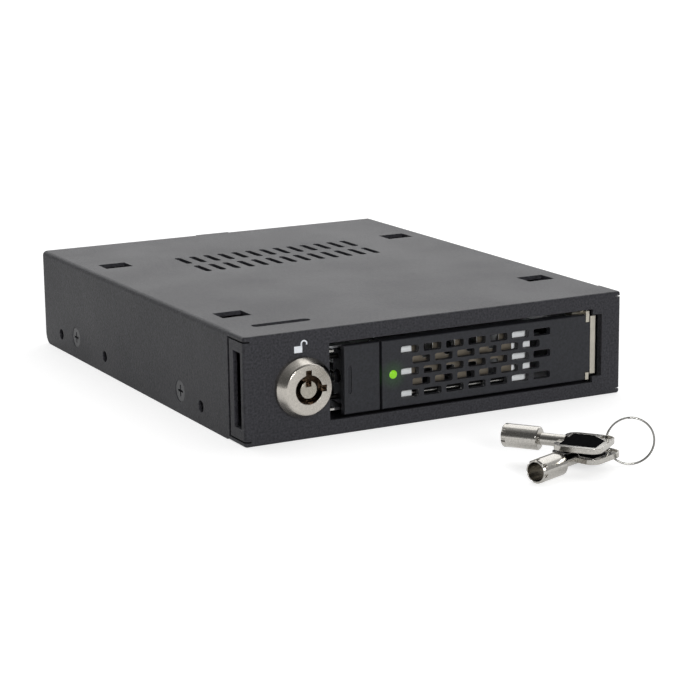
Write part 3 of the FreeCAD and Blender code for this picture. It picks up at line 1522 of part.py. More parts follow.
def make_key(label, placement, side):
    """Tubular key along its own X axis from the mouth, with a flat bow and a dark inlay."""
    steel = new_body(label)
    profile = flat_sketch(steel)
    bow_start = "key_barrel_length + key_shank_length"
    draw_outline(profile, [
        ("0", "key_bore_radius"),
        ("0", "key_barrel_radius - key_chamfer"),
        ("key_chamfer", "key_barrel_radius"),
        ("key_barrel_length - key_chamfer", "key_barrel_radius"),
        ("key_barrel_length", "key_barrel_radius - key_chamfer"),
        ("key_barrel_length", "key_shank_radius"),
        (bow_start + " + bow_border", "key_shank_radius"),
        (bow_start + " + bow_border", "0"),
        ("key_bore_depth", "0"),
        ("key_bore_depth", "key_bore_radius"),
    ])
    revolve(steel, profile, axis="H_Axis")
    bitting = side_sketch(steel, "0")
    draw_circle(bitting, "0", "key_barrel_radius", "bitting_radius")
    cut = pocket(steel, bitting, "bitting_length", backwards=True)
    repeat_round(steel, cut, "X_Axis", "bitting_count")
    bow = flat_sketch(steel, "-bow_sheet / 2")
    draw_rectangle(bow, bow_start, bow_start + " + bow_length", "-bow_width / 2", "bow_width / 2")
    pad(steel, bow, "bow_sheet")
    half = measure("bow_width") / 2
    fillet(steel, lambda a, b: same(abs(a.y), half) and same(a.y, b.y) and same(a.x, b.x), "bow_corner")
    for face, backwards in (("-bow_sheet / 2", False), ("bow_sheet / 2", True)):
        seat = flat_sketch(steel, face)
        draw_outline(seat, inlay_outline(side))
        pocket(steel, seat, "insert_sheet", backwards=not backwards)
    hole = flat_sketch(steel, "bow_sheet / 2")
    draw_circle(hole, bow_start + " + bow_length - ring_hole_inset",
                "%s * (bow_width / 2 - ring_hole_inset)" % side, "ring_hole_radius")
    pocket(steel, hole, "bow_sheet")
    steel.Placement = placement
    keep(steel, label)

    plates = []
    for level in ("-bow_sheet / 2", "bow_sheet / 2 - insert_sheet"):
        plate = new_body(label + "_plate")
        shape = flat_sketch(plate, level)
        draw_outline(shape, inlay_outline(side))
        pad(plate, shape, "insert_sheet")
        plates.append(plate)
    inlay = join(label + "_plates", plates)
    inlay.Placement = placement
    keep(inlay, label + "_inlay")


def make_keys():
    """Two keys, one lying on the other's barrel, and the ring that stands through both bows."""
    for label, turn, side in KEY_TURNS:
        make_key(label, FreeCAD.Placement(place_of(label), Rotation(Vector(0, 0, 1), turn)), side)
    ring = doc.addObject("Part::Torus", "ring")
    bind(ring, "Radius1", "ring_radius")
    bind(ring, "Radius2", "ring_wire")
    upright = Rotation(Vector(0, 0, 1), RING_TURN).multiply(Rotation(Vector(1, 0, 0), 90))
    ring.Placement = FreeCAD.Placement(place_of("ring"), upright)
    keep(ring, "key_ring")


def place_of(name):
    """Point that the sheet gives for a loose piece."""
    depth = measure(behind(name + "_depth"))
    return Vector(measure(name + "_offset"), depth, measure(name + "_rise"))


# each key: the turn about Z in degrees, and the side of the bow that has the ring's hole
KEY_TURNS = (
    ("upper_key", -53.0, 1),
    ("lower_key", 21.0, -1),
)
RING_TURN = -28.0


# ---------------------------------------------------------------- build


make_cover()
make_chassis()
make_rail("left_rail", "-")
make_rail("right_rail", "+")
make_backplane()
make_side_screws()
make_rail_screws()
make_tray()
make_latch_fittings()
make_light_pipe()
make_button()
make_lever()
make_screen()
make_hook()
make_lever_fittings()
make_lock()
make_keys()

# ---------------------------------------------------------------- check and export

doc.recompute()
for item in doc.Objects:
    if "Invalid" in item.State or "Error" in item.State:
        raise RuntimeError("%s (%s) failed: %s" % (item.Name, item.Label, item.State))
for piece in pieces:
    if piece.Shape.isNull() or not piece.Shape.isValid():
        raise RuntimeError("%s has no valid shape" % piece.Label)

os.makedirs(OUTPUT_FOLDER, exist_ok=True)
for piece in pieces:
    piece.Shape.exportStep(os.path.join(OUTPUT_FOLDER, piece.Label + ".step"))
    print(piece.Label, len(piece.Shape.Solids), round(piece.Shape.Volume, 1))
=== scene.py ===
"""Finish and setting of a low, lockable drive cage with its sliding tray and two keys."""

import logging
import math
from dataclasses import dataclass
from enum import Enum

import bmesh
import bpy
from mathutils import Matrix, Vector


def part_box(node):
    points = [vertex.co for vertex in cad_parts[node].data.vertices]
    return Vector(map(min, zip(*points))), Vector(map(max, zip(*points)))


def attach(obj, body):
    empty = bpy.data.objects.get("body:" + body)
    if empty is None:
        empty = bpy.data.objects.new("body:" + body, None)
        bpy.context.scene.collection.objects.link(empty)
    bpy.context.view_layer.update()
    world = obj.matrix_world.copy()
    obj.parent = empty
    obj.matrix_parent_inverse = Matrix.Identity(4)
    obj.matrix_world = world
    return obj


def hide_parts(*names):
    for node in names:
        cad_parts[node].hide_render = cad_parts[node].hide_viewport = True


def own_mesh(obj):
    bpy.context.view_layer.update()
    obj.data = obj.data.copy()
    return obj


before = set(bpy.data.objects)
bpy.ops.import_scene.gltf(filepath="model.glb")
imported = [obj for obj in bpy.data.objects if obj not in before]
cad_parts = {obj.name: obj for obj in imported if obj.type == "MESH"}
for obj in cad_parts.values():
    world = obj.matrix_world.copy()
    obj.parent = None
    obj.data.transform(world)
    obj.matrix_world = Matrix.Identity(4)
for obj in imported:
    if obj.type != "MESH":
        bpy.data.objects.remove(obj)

LOG = logging.getLogger("drive_cage")
MM = 0.001

# Distance in metres within which two places count as one.
NEAR = 1e-7
# Cosine of the normal's turn where an edge starts to show wear and painted highlight, and where it shows them
# most.
EDGE_MARK_FROM, EDGE_MARK_FULL = 0.99, 0.75
# Share of the edge's own colour, for wear and painted highlight, where it shows them most.
EDGE_MARK_MOST = 0.8
# Features per metre: changes of sheen that handling leaves, stains in plating, clouds in clear plastic.
HANDLING_SCALE, STAIN_SCALE, CLOUD_SCALE = 45.0, 160.0, 900.0
# Index of refraction of coats and mouldings, and of clear acrylic.
COAT_IOR, ACRYLIC_IOR = 1.5, 1.49
# Stretch of marks that are as long as they are wide.
EVEN = (1.0, 1.0, 1.0)
# Width of the camera's sensor in millimetres.
SENSOR = 36.0


class Side(Enum):
    """Which face of the circuit board a part is soldered to."""

    FRONT = -1.0
    REAR = 1.0


def to_linear(code: str) -> tuple[float, float, float, float]:
    """Turn an sRGB hex value into linear colour.

    Args:
        code: Six hex digits, such as "3a3a3c".

    Returns:
        Red, green, blue and an alpha of one.
    """
    channels = [int(code[at:at + 2], 16) / 255 for at in (0, 2, 4)]
    red, green, blue = (c / 12.92 if c <= 0.04045 else ((c + 0.055) / 1.055) ** 2.4 for c in channels)
    return red, green, blue, 1.0


def add_node(owner: bpy.types.Material | bpy.types.World, kind: str, values: dict | None = None,
             links: dict | None = None) -> bpy.types.Node:
    """Add one node to a material or the world, with its settings and its incoming links.

    Args:
        owner: Material or world that gets the node.
        kind: Blender's name for the type of node.
        values: Settings, each by the name or the number of an input, or by the name of a property.
        links: Output sockets, each by the name or the number of the input that it goes into.

    Returns:
        The new node.
    """
    node = owner.node_tree.nodes.new(kind)
    for name, value in (values or {}).items():
        if isinstance(name, int) or name in node.inputs:
            node.inputs[name].default_value = value
        else:
            setattr(node, name, value)
    for name, source in (links or {}).items():
        owner.node_tree.links.new(source, node.inputs[name])
    return node


def start_material(name: str) -> bpy.types.Material:
    """Make an empty node material called name."""
    material = bpy.data.materials.new(name)
    material.use_nodes = True
    material.node_tree.nodes.clear()
    return material


def blend_colours(material: bpy.types.Material, factor: bpy.types.NodeSocket, low: str, high: str,
                  start: float = 0.3, end: float = 0.7) -> bpy.types.NodeSocket:
    """Spread two colours over the values of a factor.

    Args:
        material: Material that gets the node.
        factor: Socket with values from 0 to 1.
        low: Hex colour where the factor is at or under start.
        high: Hex colour where it is at or over end.
        start: Factor at which the first colour ends.
        end: Factor at which the second colour begins.

    Returns:
        Socket with the colour.
    """
    share = add_node(material, "ShaderNodeMapRange", {"From Min": start, "From Max": end}, {"Value": factor})
    mixed = add_node(material, "ShaderNodeMix",
                     {"data_type": "RGBA", "A": to_linear(low), "B": to_linear(high)},
                     {"Factor": share.outputs["Result"]})
    return mixed.outputs["Result"]


def soften_edges(material: bpy.types.Material, radius_mm: float = 0.18) -> tuple:
    """Round the light on sharp edges, and find where they are.

    Args:
        material: Material that gets the nodes.
        radius_mm: Radius of the rounded edges.

    Returns:
        Socket with the rounded normal, and socket with the edge mask for wear and painted highlight, from 0
        on faces to 1 on edges.
    """
    bevel = add_node(material, "ShaderNodeBevel", {"samples": 4, "Radius": radius_mm * MM})
    rounded = bevel.outputs["Normal"]
    flat = add_node(material, "ShaderNodeNewGeometry").outputs["Normal"]
    turned = add_node(material, "ShaderNodeVectorMath", {"operation": "DOT_PRODUCT"}, {0: rounded, 1: flat})
    # Mask of the edges, which take their own colour: partly wear, partly a painted highlight.
    edge_highlight_and_wear = add_node(material, "ShaderNodeMapRange",
                      {"From Min": EDGE_MARK_FROM, "From Max": EDGE_MARK_FULL, "To Min": 0.0, "To Max": EDGE_MARK_MOST},
                      {"Value": turned.outputs["Value"]})
    return rounded, edge_highlight_and_wear.outputs["Result"]


@dataclass(frozen=True)
class CoatedSurface:
    """A coated or moulded surface with a fine grain: powder coat, ABS, phosphate or solder mask.

    Attributes:
        name: Common name of the finish.
        low: Darker colour of the grain.
        high: Lighter colour of the grain.
        roughness: Middle roughness.
        grain_mm: Distance between the bumps of the grain.
        height_mm: Height of the bumps.
        sheen_step: How far roughness varies each way over some centimetres, as handling leaves it.
        edge: Colour of edges and corners, partly wear of the thin finish and partly a painted highlight.
        gloss: Level of the reflection, where 0.5 is a smooth coat; the grain of a rough one traps some.
    """

    name: str
    low: str
    high: str
    roughness: float
    grain_mm: float
    height_mm: float
    sheen_step: float = 0.05
    edge: str = "5a5a5d"
    gloss: float = 0.5

    def surface(self, material: bpy.types.Material) -> bpy.types.Node:
        """Add the grain, the slow change of sheen and the shader.

        Args:
            material: Material that gets the nodes.

        Returns:
            The shader node.
        """
        place = add_node(material, "ShaderNodeTexCoord").outputs["Object"]
        grain = add_node(material, "ShaderNodeTexNoise",
                         {"Scale": 1 / (self.grain_mm * MM), "Detail": 3.0, "Roughness": 0.6},
                         {"Vector": place})
        drift = add_node(material, "ShaderNodeTexNoise", {"Scale": HANDLING_SCALE, "Detail": 2.0},
                         {"Vector": place})
        sheen = add_node(material, "ShaderNodeMapRange",
                         {"From Min": 0.3, "From Max": 0.7, "To Min": self.roughness - self.sheen_step,
                          "To Max": self.roughness + self.sheen_step},
                         {"Value": drift.outputs["Fac"]})
        rounded, edge_highlight_and_wear = soften_edges(material)
        bump = add_node(material, "ShaderNodeBump", {"Strength": 0.5, "Distance": self.height_mm * MM},
                        {"Height": grain.outputs["Fac"], "Normal": rounded})
        colour = blend_colours(material, grain.outputs["Fac"], self.low, self.high)
        # Edges take the edge colour: wear of the thin finish and a painted highlight.
        worn_and_highlighted = add_node(material, "ShaderNodeMix", {"data_type": "RGBA", "B": to_linear(self.edge)},
                        {"Factor": edge_highlight_and_wear, "A": colour})
        return add_node(material, "ShaderNodeBsdfPrincipled",
                        {"IOR": COAT_IOR, "Specular IOR Level": self.gloss},
                        {"Base Color": worn_and_highlighted.outputs["Result"], "Roughness": sheen.outputs["Result"],
                         "Normal": bump.outputs["Normal"]})

    def material(self) -> bpy.types.Material:
        """Make the material of this finish."""
        made = start_material(self.name)
        shader = self.surface(made)
        add_node(made, "ShaderNodeOutputMaterial", links={"Surface": shader.outputs["BSDF"]})
        return made


@dataclass(frozen=True)
class PlatedMetal:
    """Plated steel or brass, with the marks of rolling or turning drawn along one direction.

    Attributes:
        name: Common name of the finish.
        low: Colour in the marks.
        high: Colour of the bright plating.
        roughness: Middle roughness.
        mark_mm: Distance between marks.
        stretch: How much longer than wide a mark is, along X, Y and Z.
        depth_mm: Depth of the marks.
    """

    name: str
    low: str
    high: str
    roughness: float
    mark_mm: float
    stretch: tuple[float, float, float]
    depth_mm: float = 0.004

    def material(self) -> bpy.types.Material:
        """Make the material of this finish."""
        made = start_material(self.name)
        place = add_node(made, "ShaderNodeTexCoord").outputs["Object"]
        per_metre = 1 / (self.mark_mm * MM)
        drawn = add_node(made, "ShaderNodeMapping",
                         {"Scale": tuple(per_metre / part for part in self.stretch)}, {"Vector": place})
        marks = add_node(made, "ShaderNodeTexNoise", {"Scale": 1.0, "Detail": 4.0, "Roughness": 0.65},
                         {"Vector": drawn.outputs["Vector"]})
        stain = add_node(made, "ShaderNodeTexNoise", {"Scale": STAIN_SCALE, "Detail": 2.0}, {"Vector": place})
        sheen = add_node(made, "ShaderNodeMapRange",
                         {"From Min": 0.25, "From Max": 0.75, "To Min": self.roughness * 0.75,
                          "To Max": self.roughness * 1.35},
                         {"Value": stain.outputs["Fac"]})
        bump = add_node(made, "ShaderNodeBump", {"Strength": 0.25, "Distance": self.depth_mm * MM},
                        {"Height": marks.outputs["Fac"], "Normal": soften_edges(made)[0]})
        colour = blend_colours(made, marks.outputs["Fac"], self.low, self.high, 0.25, 0.75)
        shader = add_node(made, "ShaderNodeBsdfPrincipled", {"Metallic": 1.0},
                          {"Base Color": colour, "Roughness": sheen.outputs["Result"],
                           "Normal": bump.outputs["Normal"]})
        add_node(made, "ShaderNodeOutputMaterial", links={"Surface": shader.outputs["BSDF"]})
        return made


@dataclass(frozen=True)
class ScreenMetal(PlatedMetal):
    """Plated sheet, near white at both ends, with painted shade over its holes and a painted shadow at its
    foot.

    Attributes:
        painted_shade: Painted shade: colour of the middle zone, over the holes.
        first_mm: Where the painted shade begins along X.
        last_mm: Where it ends.
        shade: Painted shadow of the lever: colour of the foot of the shaded zone.
        painted_shadow_top_mm: Height to which that painted shadow reaches.
        rim_mm: Radius over which the rims of the holes keep the bright colour, as a painted highlight.
        end_metal: How metallic the bright ends are, from 0 to 1.
        shaded_zone_metal: How metallic the zone with painted shade is, from 0 to 1.
    """

    painted_shade: str = "857d70"
    first_mm: float = -6.2
    last_mm: float = 21.3
    shade: str = "0d0d0e"
    painted_shadow_top_mm: float = 7.8
    rim_mm: float = 0.3
    end_metal: float = 0.15
    shaded_zone_metal: float = 0.9

    def material(self) -> bpy.types.Material:
        """Make the material, with painted shade in zones set by X and Z and painted highlights on the rims of
        its holes.
        """
        made = super().material()
        shader = next(node for node in made.node_tree.nodes if node.type == "BSDF_PRINCIPLED")
        bright = shader.inputs["Base Color"].links[0].from_socket
        place = add_node(made, "ShaderNodeTexCoord").outputs["Object"]
        parts = add_node(made, "ShaderNodeSeparateXYZ", links={0: place}).outputs
        middle = (self.first_mm + self.last_mm) / 2 * MM
        reach = (self.last_mm - self.first_mm) / 2 * MM
        # Middle zone over the holes: painted shade.
        zone = add_node(made, "ShaderNodeMath", {"operation": "COMPARE", 1: middle, 2: reach},
                        {0: parts["X"]})
        # Below this height: painted shadow of the lever.
        foot = add_node(made, "ShaderNodeMath", {"operation": "LESS_THAN", 1: self.painted_shadow_top_mm * MM},
                        {0: parts["Z"]})
        painted_shading = add_node(made, "ShaderNodeMix",
                           {"data_type": "RGBA", "A": to_linear(self.painted_shade), "B": to_linear(self.shade)},
                           {"Factor": foot.outputs["Value"]})
        # Rims of the holes keep the bright colour: a painted highlight.
        edge_highlight_and_wear = soften_edges(made, self.rim_mm)[1]
        painted_shade_share = add_node(made, "ShaderNodeMath", {"operation": "SUBTRACT", "use_clamp": True},
                          {0: zone.outputs["Value"], 1: edge_highlight_and_wear})
        colour = add_node(made, "ShaderNodeMix", {"data_type": "RGBA"},
                          {"Factor": painted_shade_share.outputs["Value"], "A": bright, "B": painted_shading.outputs["Result"]})
        made.node_tree.links.new(colour.outputs["Result"], shader.inputs["Base Color"])
        plated = add_node(made, "ShaderNodeMapRange", {"To Min": self.end_metal, "To Max": self.shaded_zone_metal},
                          {"Value": zone.outputs["Value"]})
        made.node_tree.links.new(plated.outputs["Result"], shader.inputs["Metallic"])
        return made


@dataclass(frozen=True)
class KeyedNickel(PlatedMetal):
    """Nickel plate on a lock's piece, coloured brown-grey in its keyway, darker than the plate.

    Attributes:
        node: The lock's node that it goes on; its front is the lowest Y.
        inside: Colour in the keyway.
        reach_mm: Distance from the lock's axis that the keyway takes up.
        lip_mm: Depth behind the front at which it begins.
    """

    node: str = "lock_housing"
    inside: str = "75675a"
    reach_mm: float = 4.65
    lip_mm: float = 0.12

    def material(self) -> bpy.types.Material:
        """Make the material, dark from the lip inwards round the node's own axis."""
        made = super().material()
        shader = next(node for node in made.node_tree.nodes if node.type == "BSDF_PRINCIPLED")
        plate = shader.inputs["Base Color"].links[0].from_socket
        low, high = (Vector(corner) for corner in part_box(self.node))
        axis = ((low.x + high.x) / 2, low.y, (low.z + high.z) / 2)
        place = add_node(made, "ShaderNodeTexCoord").outputs["Object"]
        away = add_node(made, "ShaderNodeVectorMath", {"operation": "SUBTRACT", 1: axis}, {0: place})
        flat = add_node(made, "ShaderNodeVectorMath", {"operation": "MULTIPLY", 1: (1, 0, 1)},
                        {0: away.outputs["Vector"]})
        radius = add_node(made, "ShaderNodeVectorMath", {"operation": "LENGTH"}, {0: flat.outputs["Vector"]})
        near = add_node(made, "ShaderNodeMath", {"operation": "LESS_THAN", 1: self.reach_mm * MM},
                        {0: radius.outputs["Value"]})
        depth = add_node(made, "ShaderNodeSeparateXYZ", links={0: away.outputs["Vector"]})
        within = add_node(made, "ShaderNodeMath", {"operation": "GREATER_THAN", 1: self.lip_mm * MM},
                          {0: depth.outputs["Y"]})
        keyway = add_node(made, "ShaderNodeMath", {"operation": "MULTIPLY"},
                          {0: near.outputs["Value"], 1: within.outputs["Value"]})
        colour = add_node(made, "ShaderNodeMix", {"data_type": "RGBA", "B": to_linear(self.inside)},
                          {"Factor": keyway.outputs["Value"], "A": plate})
        made.node_tree.links.new(colour.outputs["Result"], shader.inputs["Base Color"])
        return made


@dataclass(frozen=True)
class LitPlastic:
    """Clear plastic that carries a lamp's light.

    Attributes:
        name: Common name of the finish.
        colour: Colour of the plastic.
        glow: Colour of the light in it.
        strength: Strength of that light.
        clear: Share of light that passes through.
        roughness: Roughness of its surface.
    """

    name: str
    colour: str
    glow: str
    strength: float
    clear: float
    roughness: float = 0.18

    def material(self) -> bpy.types.Material:
        """Make the material of this finish."""
        made = start_material(self.name)
        place = add_node(made, "ShaderNodeTexCoord").outputs["Object"]
        clouds = add_node(made, "ShaderNodeTexNoise", {"Scale": CLOUD_SCALE, "Detail": 2.0},
                          {"Vector": place})
        colour = blend_colours(made, clouds.outputs["Fac"], self.colour, self.glow, 0.2, 1.0)
        shader = add_node(made, "ShaderNodeBsdfPrincipled",
                          {"Roughness": self.roughness, "IOR": ACRYLIC_IOR,
                           "Transmission Weight": self.clear, "Emission Color": to_linear(self.glow),
                           "Emission Strength": self.strength},
                          {"Base Color": colour})
        add_node(made, "ShaderNodeOutputMaterial", links={"Surface": shader.outputs["BSDF"]})
        return made


# Steel sheet with a baked fine-textured powder coat: near black, with a soft sheen at low angles.
POWDER_COAT = CoatedSurface("powder_coated_steel", "242427", "404045", 0.44, 0.5, 0.2,
                            sheen_step=0.03, gloss=0.2)
# Spark-eroded ABS of the button: a little darker than the coat, with a much shallower grain.
LATCH_ABS = CoatedSurface("spark_eroded_abs", "232427", "2f3035", 0.5, 0.5, 0.03, gloss=0.3)
# Glass-filled nylon of rails and connectors, straight from the mould.
RAIL_NYLON = CoatedSurface("glass_filled_nylon", "17171a", "212124", 0.55, 0.5, 0.02)
# Phosphated machine screws: dark grey that goes blue-black in the light.
BLACK_PHOSPHATE = CoatedSurface("black_phosphated_steel", "27282b", "3a3b3f", 0.34, 0.3, 0.01,
                                edge="6a6b6f")
# Solder mask over laminate: glossy green with faint copper below.
SOLDER_MASK = CoatedSurface("green_solder_mask", "0f3a1f", "1a5230", 0.25, 0.9, 0.01)
# Smooth inlay of the key's bow, black and hardly shiny.
KEY_INLAY = CoatedSurface("satin_black_inlay", "0f0f10", "18181a", 0.35, 0.6, 0.002,
                          sheen_step=0.02, gloss=0.0)
# Pad-printed ink: flat and pale.
PRINT_INK = CoatedSurface("pad_printed_ink", "e2e7ee", "eff2f6", 0.55, 0.3, 0.002, edge="e8ecf2")
# Epoxy of the small chips and the ceramic of the capacitors.
CHIP_EPOXY = CoatedSurface("moulded_chip_epoxy", "1a1a1b", "242425", 0.6, 0.3, 0.005)
CAPACITOR_CERAMIC = CoatedSurface("capacitor_ceramic", "8c6f4a", "a4855b", 0.4, 0.3, 0.002)
# Zinc-plated cold-rolled sheet: pale, with faint rolling marks front to back.
ZINC_SHEET = PlatedMetal("zinc_plated_sheet", "b4b6b8", "d2d4d6", 0.34, 0.35, (1.0, 18.0, 1.0))
# Nickel-plated diecast keys: warm and bright.
SATIN_NICKEL = PlatedMetal("satin_nickel_plate", "a6a39d", "d6d3cd", 0.13, 0.3, EVEN, 0.003)
# The lock's housing and its plug: the same plate, a little duller on the plug that keys have rubbed.
LOCK_NICKEL = KeyedNickel("lock_housing_nickel", "b6b1a9", "d8d3cb", 0.16, 0.3, EVEN, 0.003)
PLUG_NICKEL = KeyedNickel("lock_plug_nickel", "a39e94", "c3beb3", 0.24, 0.3, EVEN, 0.003,
                          node="lock_plug")
# Oiled spring wire and drawn pins: dark, with a soft shine.
SPRING_STEEL = PlatedMetal("oiled_spring_steel", "2a2928", "403f3d", 0.35, 0.3, EVEN, 0.002)
# Flat-rolled wire of the split ring, greyer than the keys.
RING_WIRE = PlatedMetal("rolled_ring_wire", "7f7e7a", "a3a29e", 0.2, 0.3, EVEN, 0.002)
# Barrel-polished nickel on nuts, screws and the hinge pin.
BRIGHT_NICKEL = PlatedMetal("bright_nickel_plate", "b9b8b4", "dcdbd6", 0.16, 0.3, EVEN, 0.002)
# Stamped steel of the lever's heel, tumbled and nickel plated.
STAMPED_STEEL = PlatedMetal("tumbled_stamped_steel", "b3aea2", "cbc6ba", 0.32, 0.25, (1.0, 1.0, 6.0))
# Perforated screen behind the lever's slots: near white at its ends, brown-grey painted shade over its holes.
SCREEN_SHEET = ScreenMetal("zinc_sheet_with_painted_shade", "f2f6f8", "fcfefe", 0.42, 0.5, (6.0, 1.0, 1.0))
# Gold flash on connector contacts.
GOLD_FLASH = PlatedMetal("gold_flashed_contact", "b68a3a", "d9b25c", 0.22, 0.2, (1.0, 6.0, 1.0), 0.001)
# Clear acrylic of the light pipe, and the green lens that it ends in.
CLEAR_ACRYLIC = LitPlastic("clear_acrylic", "dfe8e2", "e9f3ea", 0.0, 0.85)
GREEN_LENS = LitPlastic("lit_green_lens", "6fae14", "86cf1e", 0.36, 0.0)


@dataclass(frozen=True)
class GlowingAbs(CoatedSurface):
    """The lever's plastic, with a faint green glow painted round its lens in place of the light that the lamp
    spills.

    Attributes:
        painted_glow: Colour of the painted glow.
        start_mm: Distance from the lens's middle at which the painted glow starts to fade.
        reach_mm: Distance at which it ends.
        strength: Its strength up to where it starts to fade.
    """

    painted_glow: str = "3f9a06"
    start_mm: float = 0.9
    reach_mm: float = 4.4
    strength: float = 0.09

    def material(self) -> bpy.types.Material:
        """Make the material, with the painted glow centred on the lens."""
        made = start_material(self.name)
        shader = self.surface(made)
        low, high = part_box("status_lens")
        centre = (Vector(low) + Vector(high)) / 2
        place = add_node(made, "ShaderNodeTexCoord").outputs["Object"]
        away = add_node(made, "ShaderNodeVectorMath", {"operation": "DISTANCE", 1: tuple(centre)},
                        {0: place})
        # The plastic glows green near the lens: painted light.
        fade = add_node(made, "ShaderNodeMapRange",
                        {"interpolation_type": "SMOOTHSTEP", "From Min": self.start_mm * MM,
                         "From Max": self.reach_mm * MM, "To Min": self.strength, "To Max": 0.0},
                        {"Value": away.outputs["Value"]})
        shader.inputs["Emission Color"].default_value = to_linear(self.painted_glow)
        made.node_tree.links.new(fade.outputs["Result"], shader.inputs["Emission Strength"])
        add_node(made, "ShaderNodeOutputMaterial", links={"Surface": shader.outputs["BSDF"]})
        return made


# The lever's spark-eroded ABS, with a painted green glow round the lens.
LEVER_ABS = GlowingAbs("spark_eroded_abs_painted_glow", "232427", "2f3035", 0.5, 0.5, 0.03, gloss=0.3)

Finish = CoatedSurface | PlatedMetal | LitPlastic


class Finisher:
    """Makes each finish once and puts it on pieces."""

    def __init__(self) -> None:
        """Start with no material made."""
        self.made: dict[str, bpy.types.Material] = {}

    def material(self, finish: Finish) -> bpy.types.Material:
        """Give the material of a finish.

        Args:
            finish: The finish that is wanted.

        Returns:
            Its material, made at the first call.
        """
        if finish.name not in self.made:
            self.made[finish.name] = finish.material()
        return self.made[finish.name]

    def dress(self, finish: Finish, *nodes: str) -> None:
        """Put a finish on nodes of the frame.

        Args:
            finish: The finish that they get.
            nodes: Names of the nodes.
        """
        for name in nodes:
            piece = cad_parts[name]
            for slot in piece.material_slots:
                slot.material = self.material(finish)
            LOG.info("%s has %s", name, finish.name)

    def add_piece(self, name: str, mesh: bmesh.types.BMesh, body: str,
                  finish: Finish, smooth: bool = False) -> bpy.types.Object:
        """Turn a bmesh into a piece that rides on a body.

        Args:
            name: Name of the piece.
            mesh: The piece's shape, in metres, at its place in the frame. It is freed here.
            body: Body that the piece moves with.
            finish: Finish of its surface.
            smooth: Whether its faces are shaded smooth.

        Returns:
            The new object.
        """
        bmesh.ops.recalc_face_normals(mesh, faces=mesh.faces)
        data = bpy.data.meshes.new(name)
        mesh.to_mesh(data)
        mesh.free()
        if smooth:
            data.shade_smooth()
        data.materials.append(self.material(finish))
        piece = bpy.data.objects.new(name, data)
        bpy.context.scene.collection.objects.link(piece)
        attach(piece, body)
        LOG.info("%s added to %s", name, body)
        return piece


def add_block(mesh: bmesh.types.BMesh, centre: Vector, size: tuple[float, float, float],
              rounding: float = 0.0) -> list[bmesh.types.BMVert]:
    """Add a block with rounded edges to a bmesh.

    Args:
        mesh: Where the block goes.
        centre: Its centre.
        size: Its lengths along X, Y and Z.
        rounding: Width of its bevelled edges, or zero for sharp ones.

    Returns:
        The vertices of the block.
    """
    place = Matrix.Translation(centre) @ Matrix.Diagonal((*size, 1.0))
    verts = bmesh.ops.create_cube(mesh, size=1.0, matrix=place)["verts"]
    if rounding:
        edges = list({edge for vert in verts for edge in vert.link_edges})
        bevelled = bmesh.ops.bevel(mesh, geom=edges, offset=rounding, offset_type="OFFSET", affect="EDGES",
                                   segments=2, profile=0.5, material=-1)
        verts = list({vert for face in bevelled["faces"] for vert in face.verts})
    return verts


@dataclass
class Housing:
    """Folded cover, chassis and rails, and the printed mark over the lock.

    Attributes:
        mark_centre: Middle of the mark's lower part, as X and Z in millimetres.
        mark_size: Width and height of that part in millimetres.
        shackle_radius: Middle radius of the mark's open bow in millimetres.
        leg: Height of the bow's straight leg in millimetres.
        line: Width of the bow's line in millimetres.
        ink: Thickness of the ink in millimetres.
        inset: Distance of the bow from the edge of the lower part, in millimetres.
        steps: Steps of the bow's half turn.
    """

    mark_centre: tuple[float, float] = (-37.17, 21.2)
    mark_size: tuple[float, float] = (2.05, 1.55)
    shackle_radius: float = 0.68
    leg: float = 0.45
    line: float = 0.36
    ink: float = 0.02
    inset: float = 0.05
    steps: int = 14

    def dress(self, finisher: Finisher) -> None:
        """Finish the housing's own nodes."""
        finisher.dress(POWDER_COAT, "outer_cover", "bottom_chassis")
        finisher.dress(RAIL_NYLON, "left_rail", "right_rail")
        finisher.dress(BLACK_PHOSPHATE, "side_screws", "rail_screws")

    def print_mark(self, finisher: Finisher) -> None:
        """Print the open padlock, a plain sign for the unlocked side."""
        mesh = bmesh.new()
        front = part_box("outer_cover")[0][1] - self.ink * MM / 2
        x, z = (part * MM for part in self.mark_centre)
        width, height = (part * MM for part in self.mark_size)
        thick = self.ink * MM
        add_block(mesh, Vector((x, front, z)), (width, thick, height))
        radius = self.shackle_radius * MM
        line = self.line * MM
        leg = self.leg * MM
        root = x + width / 2 - line / 2 - self.inset * MM
        top = z + height / 2 + leg
        add_block(mesh, Vector((root, front, top - leg / 2)), (line, thick, leg))
        add_block(mesh, Vector((root + 2 * radius, front, top - leg / 3)), (line, thick, leg * 2 / 3))
        face = front - thick / 2
        start = [mesh.verts.new((root + side * line / 2, face, top)) for side in (-1, 1)]
        edge = mesh.edges.new(start)
        bmesh.ops.spin(mesh, geom=[edge, *start], cent=(root + radius, front, top), axis=(0, 1, 0),
                       angle=math.pi, steps=self.steps, use_merge=False)
        strip = [part for part in mesh.faces
                 if all(abs(vert.co.y - face) < NEAR and vert.co.z > top - NEAR for vert in part.verts)]
        grown = bmesh.ops.extrude_face_region(mesh, geom=strip)
        bmesh.ops.translate(mesh, vec=(0, thick, 0),
                            verts=[item for item in grown["geom"] if isinstance(item, bmesh.types.BMVert)])
        finisher.add_piece("unlocked_mark", mesh, "cage", PRINT_INK)


# Chips: the board's face, then X and Z of the middle, width and height in millimetres.
CHIPS = (
    (Side.FRONT, 4.0, 16.6, 6.0, 5.0),
    (Side.FRONT, 20.0, 16.4, 4.0, 4.0),
    (Side.FRONT, 30.5, 9.5, 5.0, 4.0),
    (Side.REAR, -22.0, 13.0, 5.0, 6.0),
)
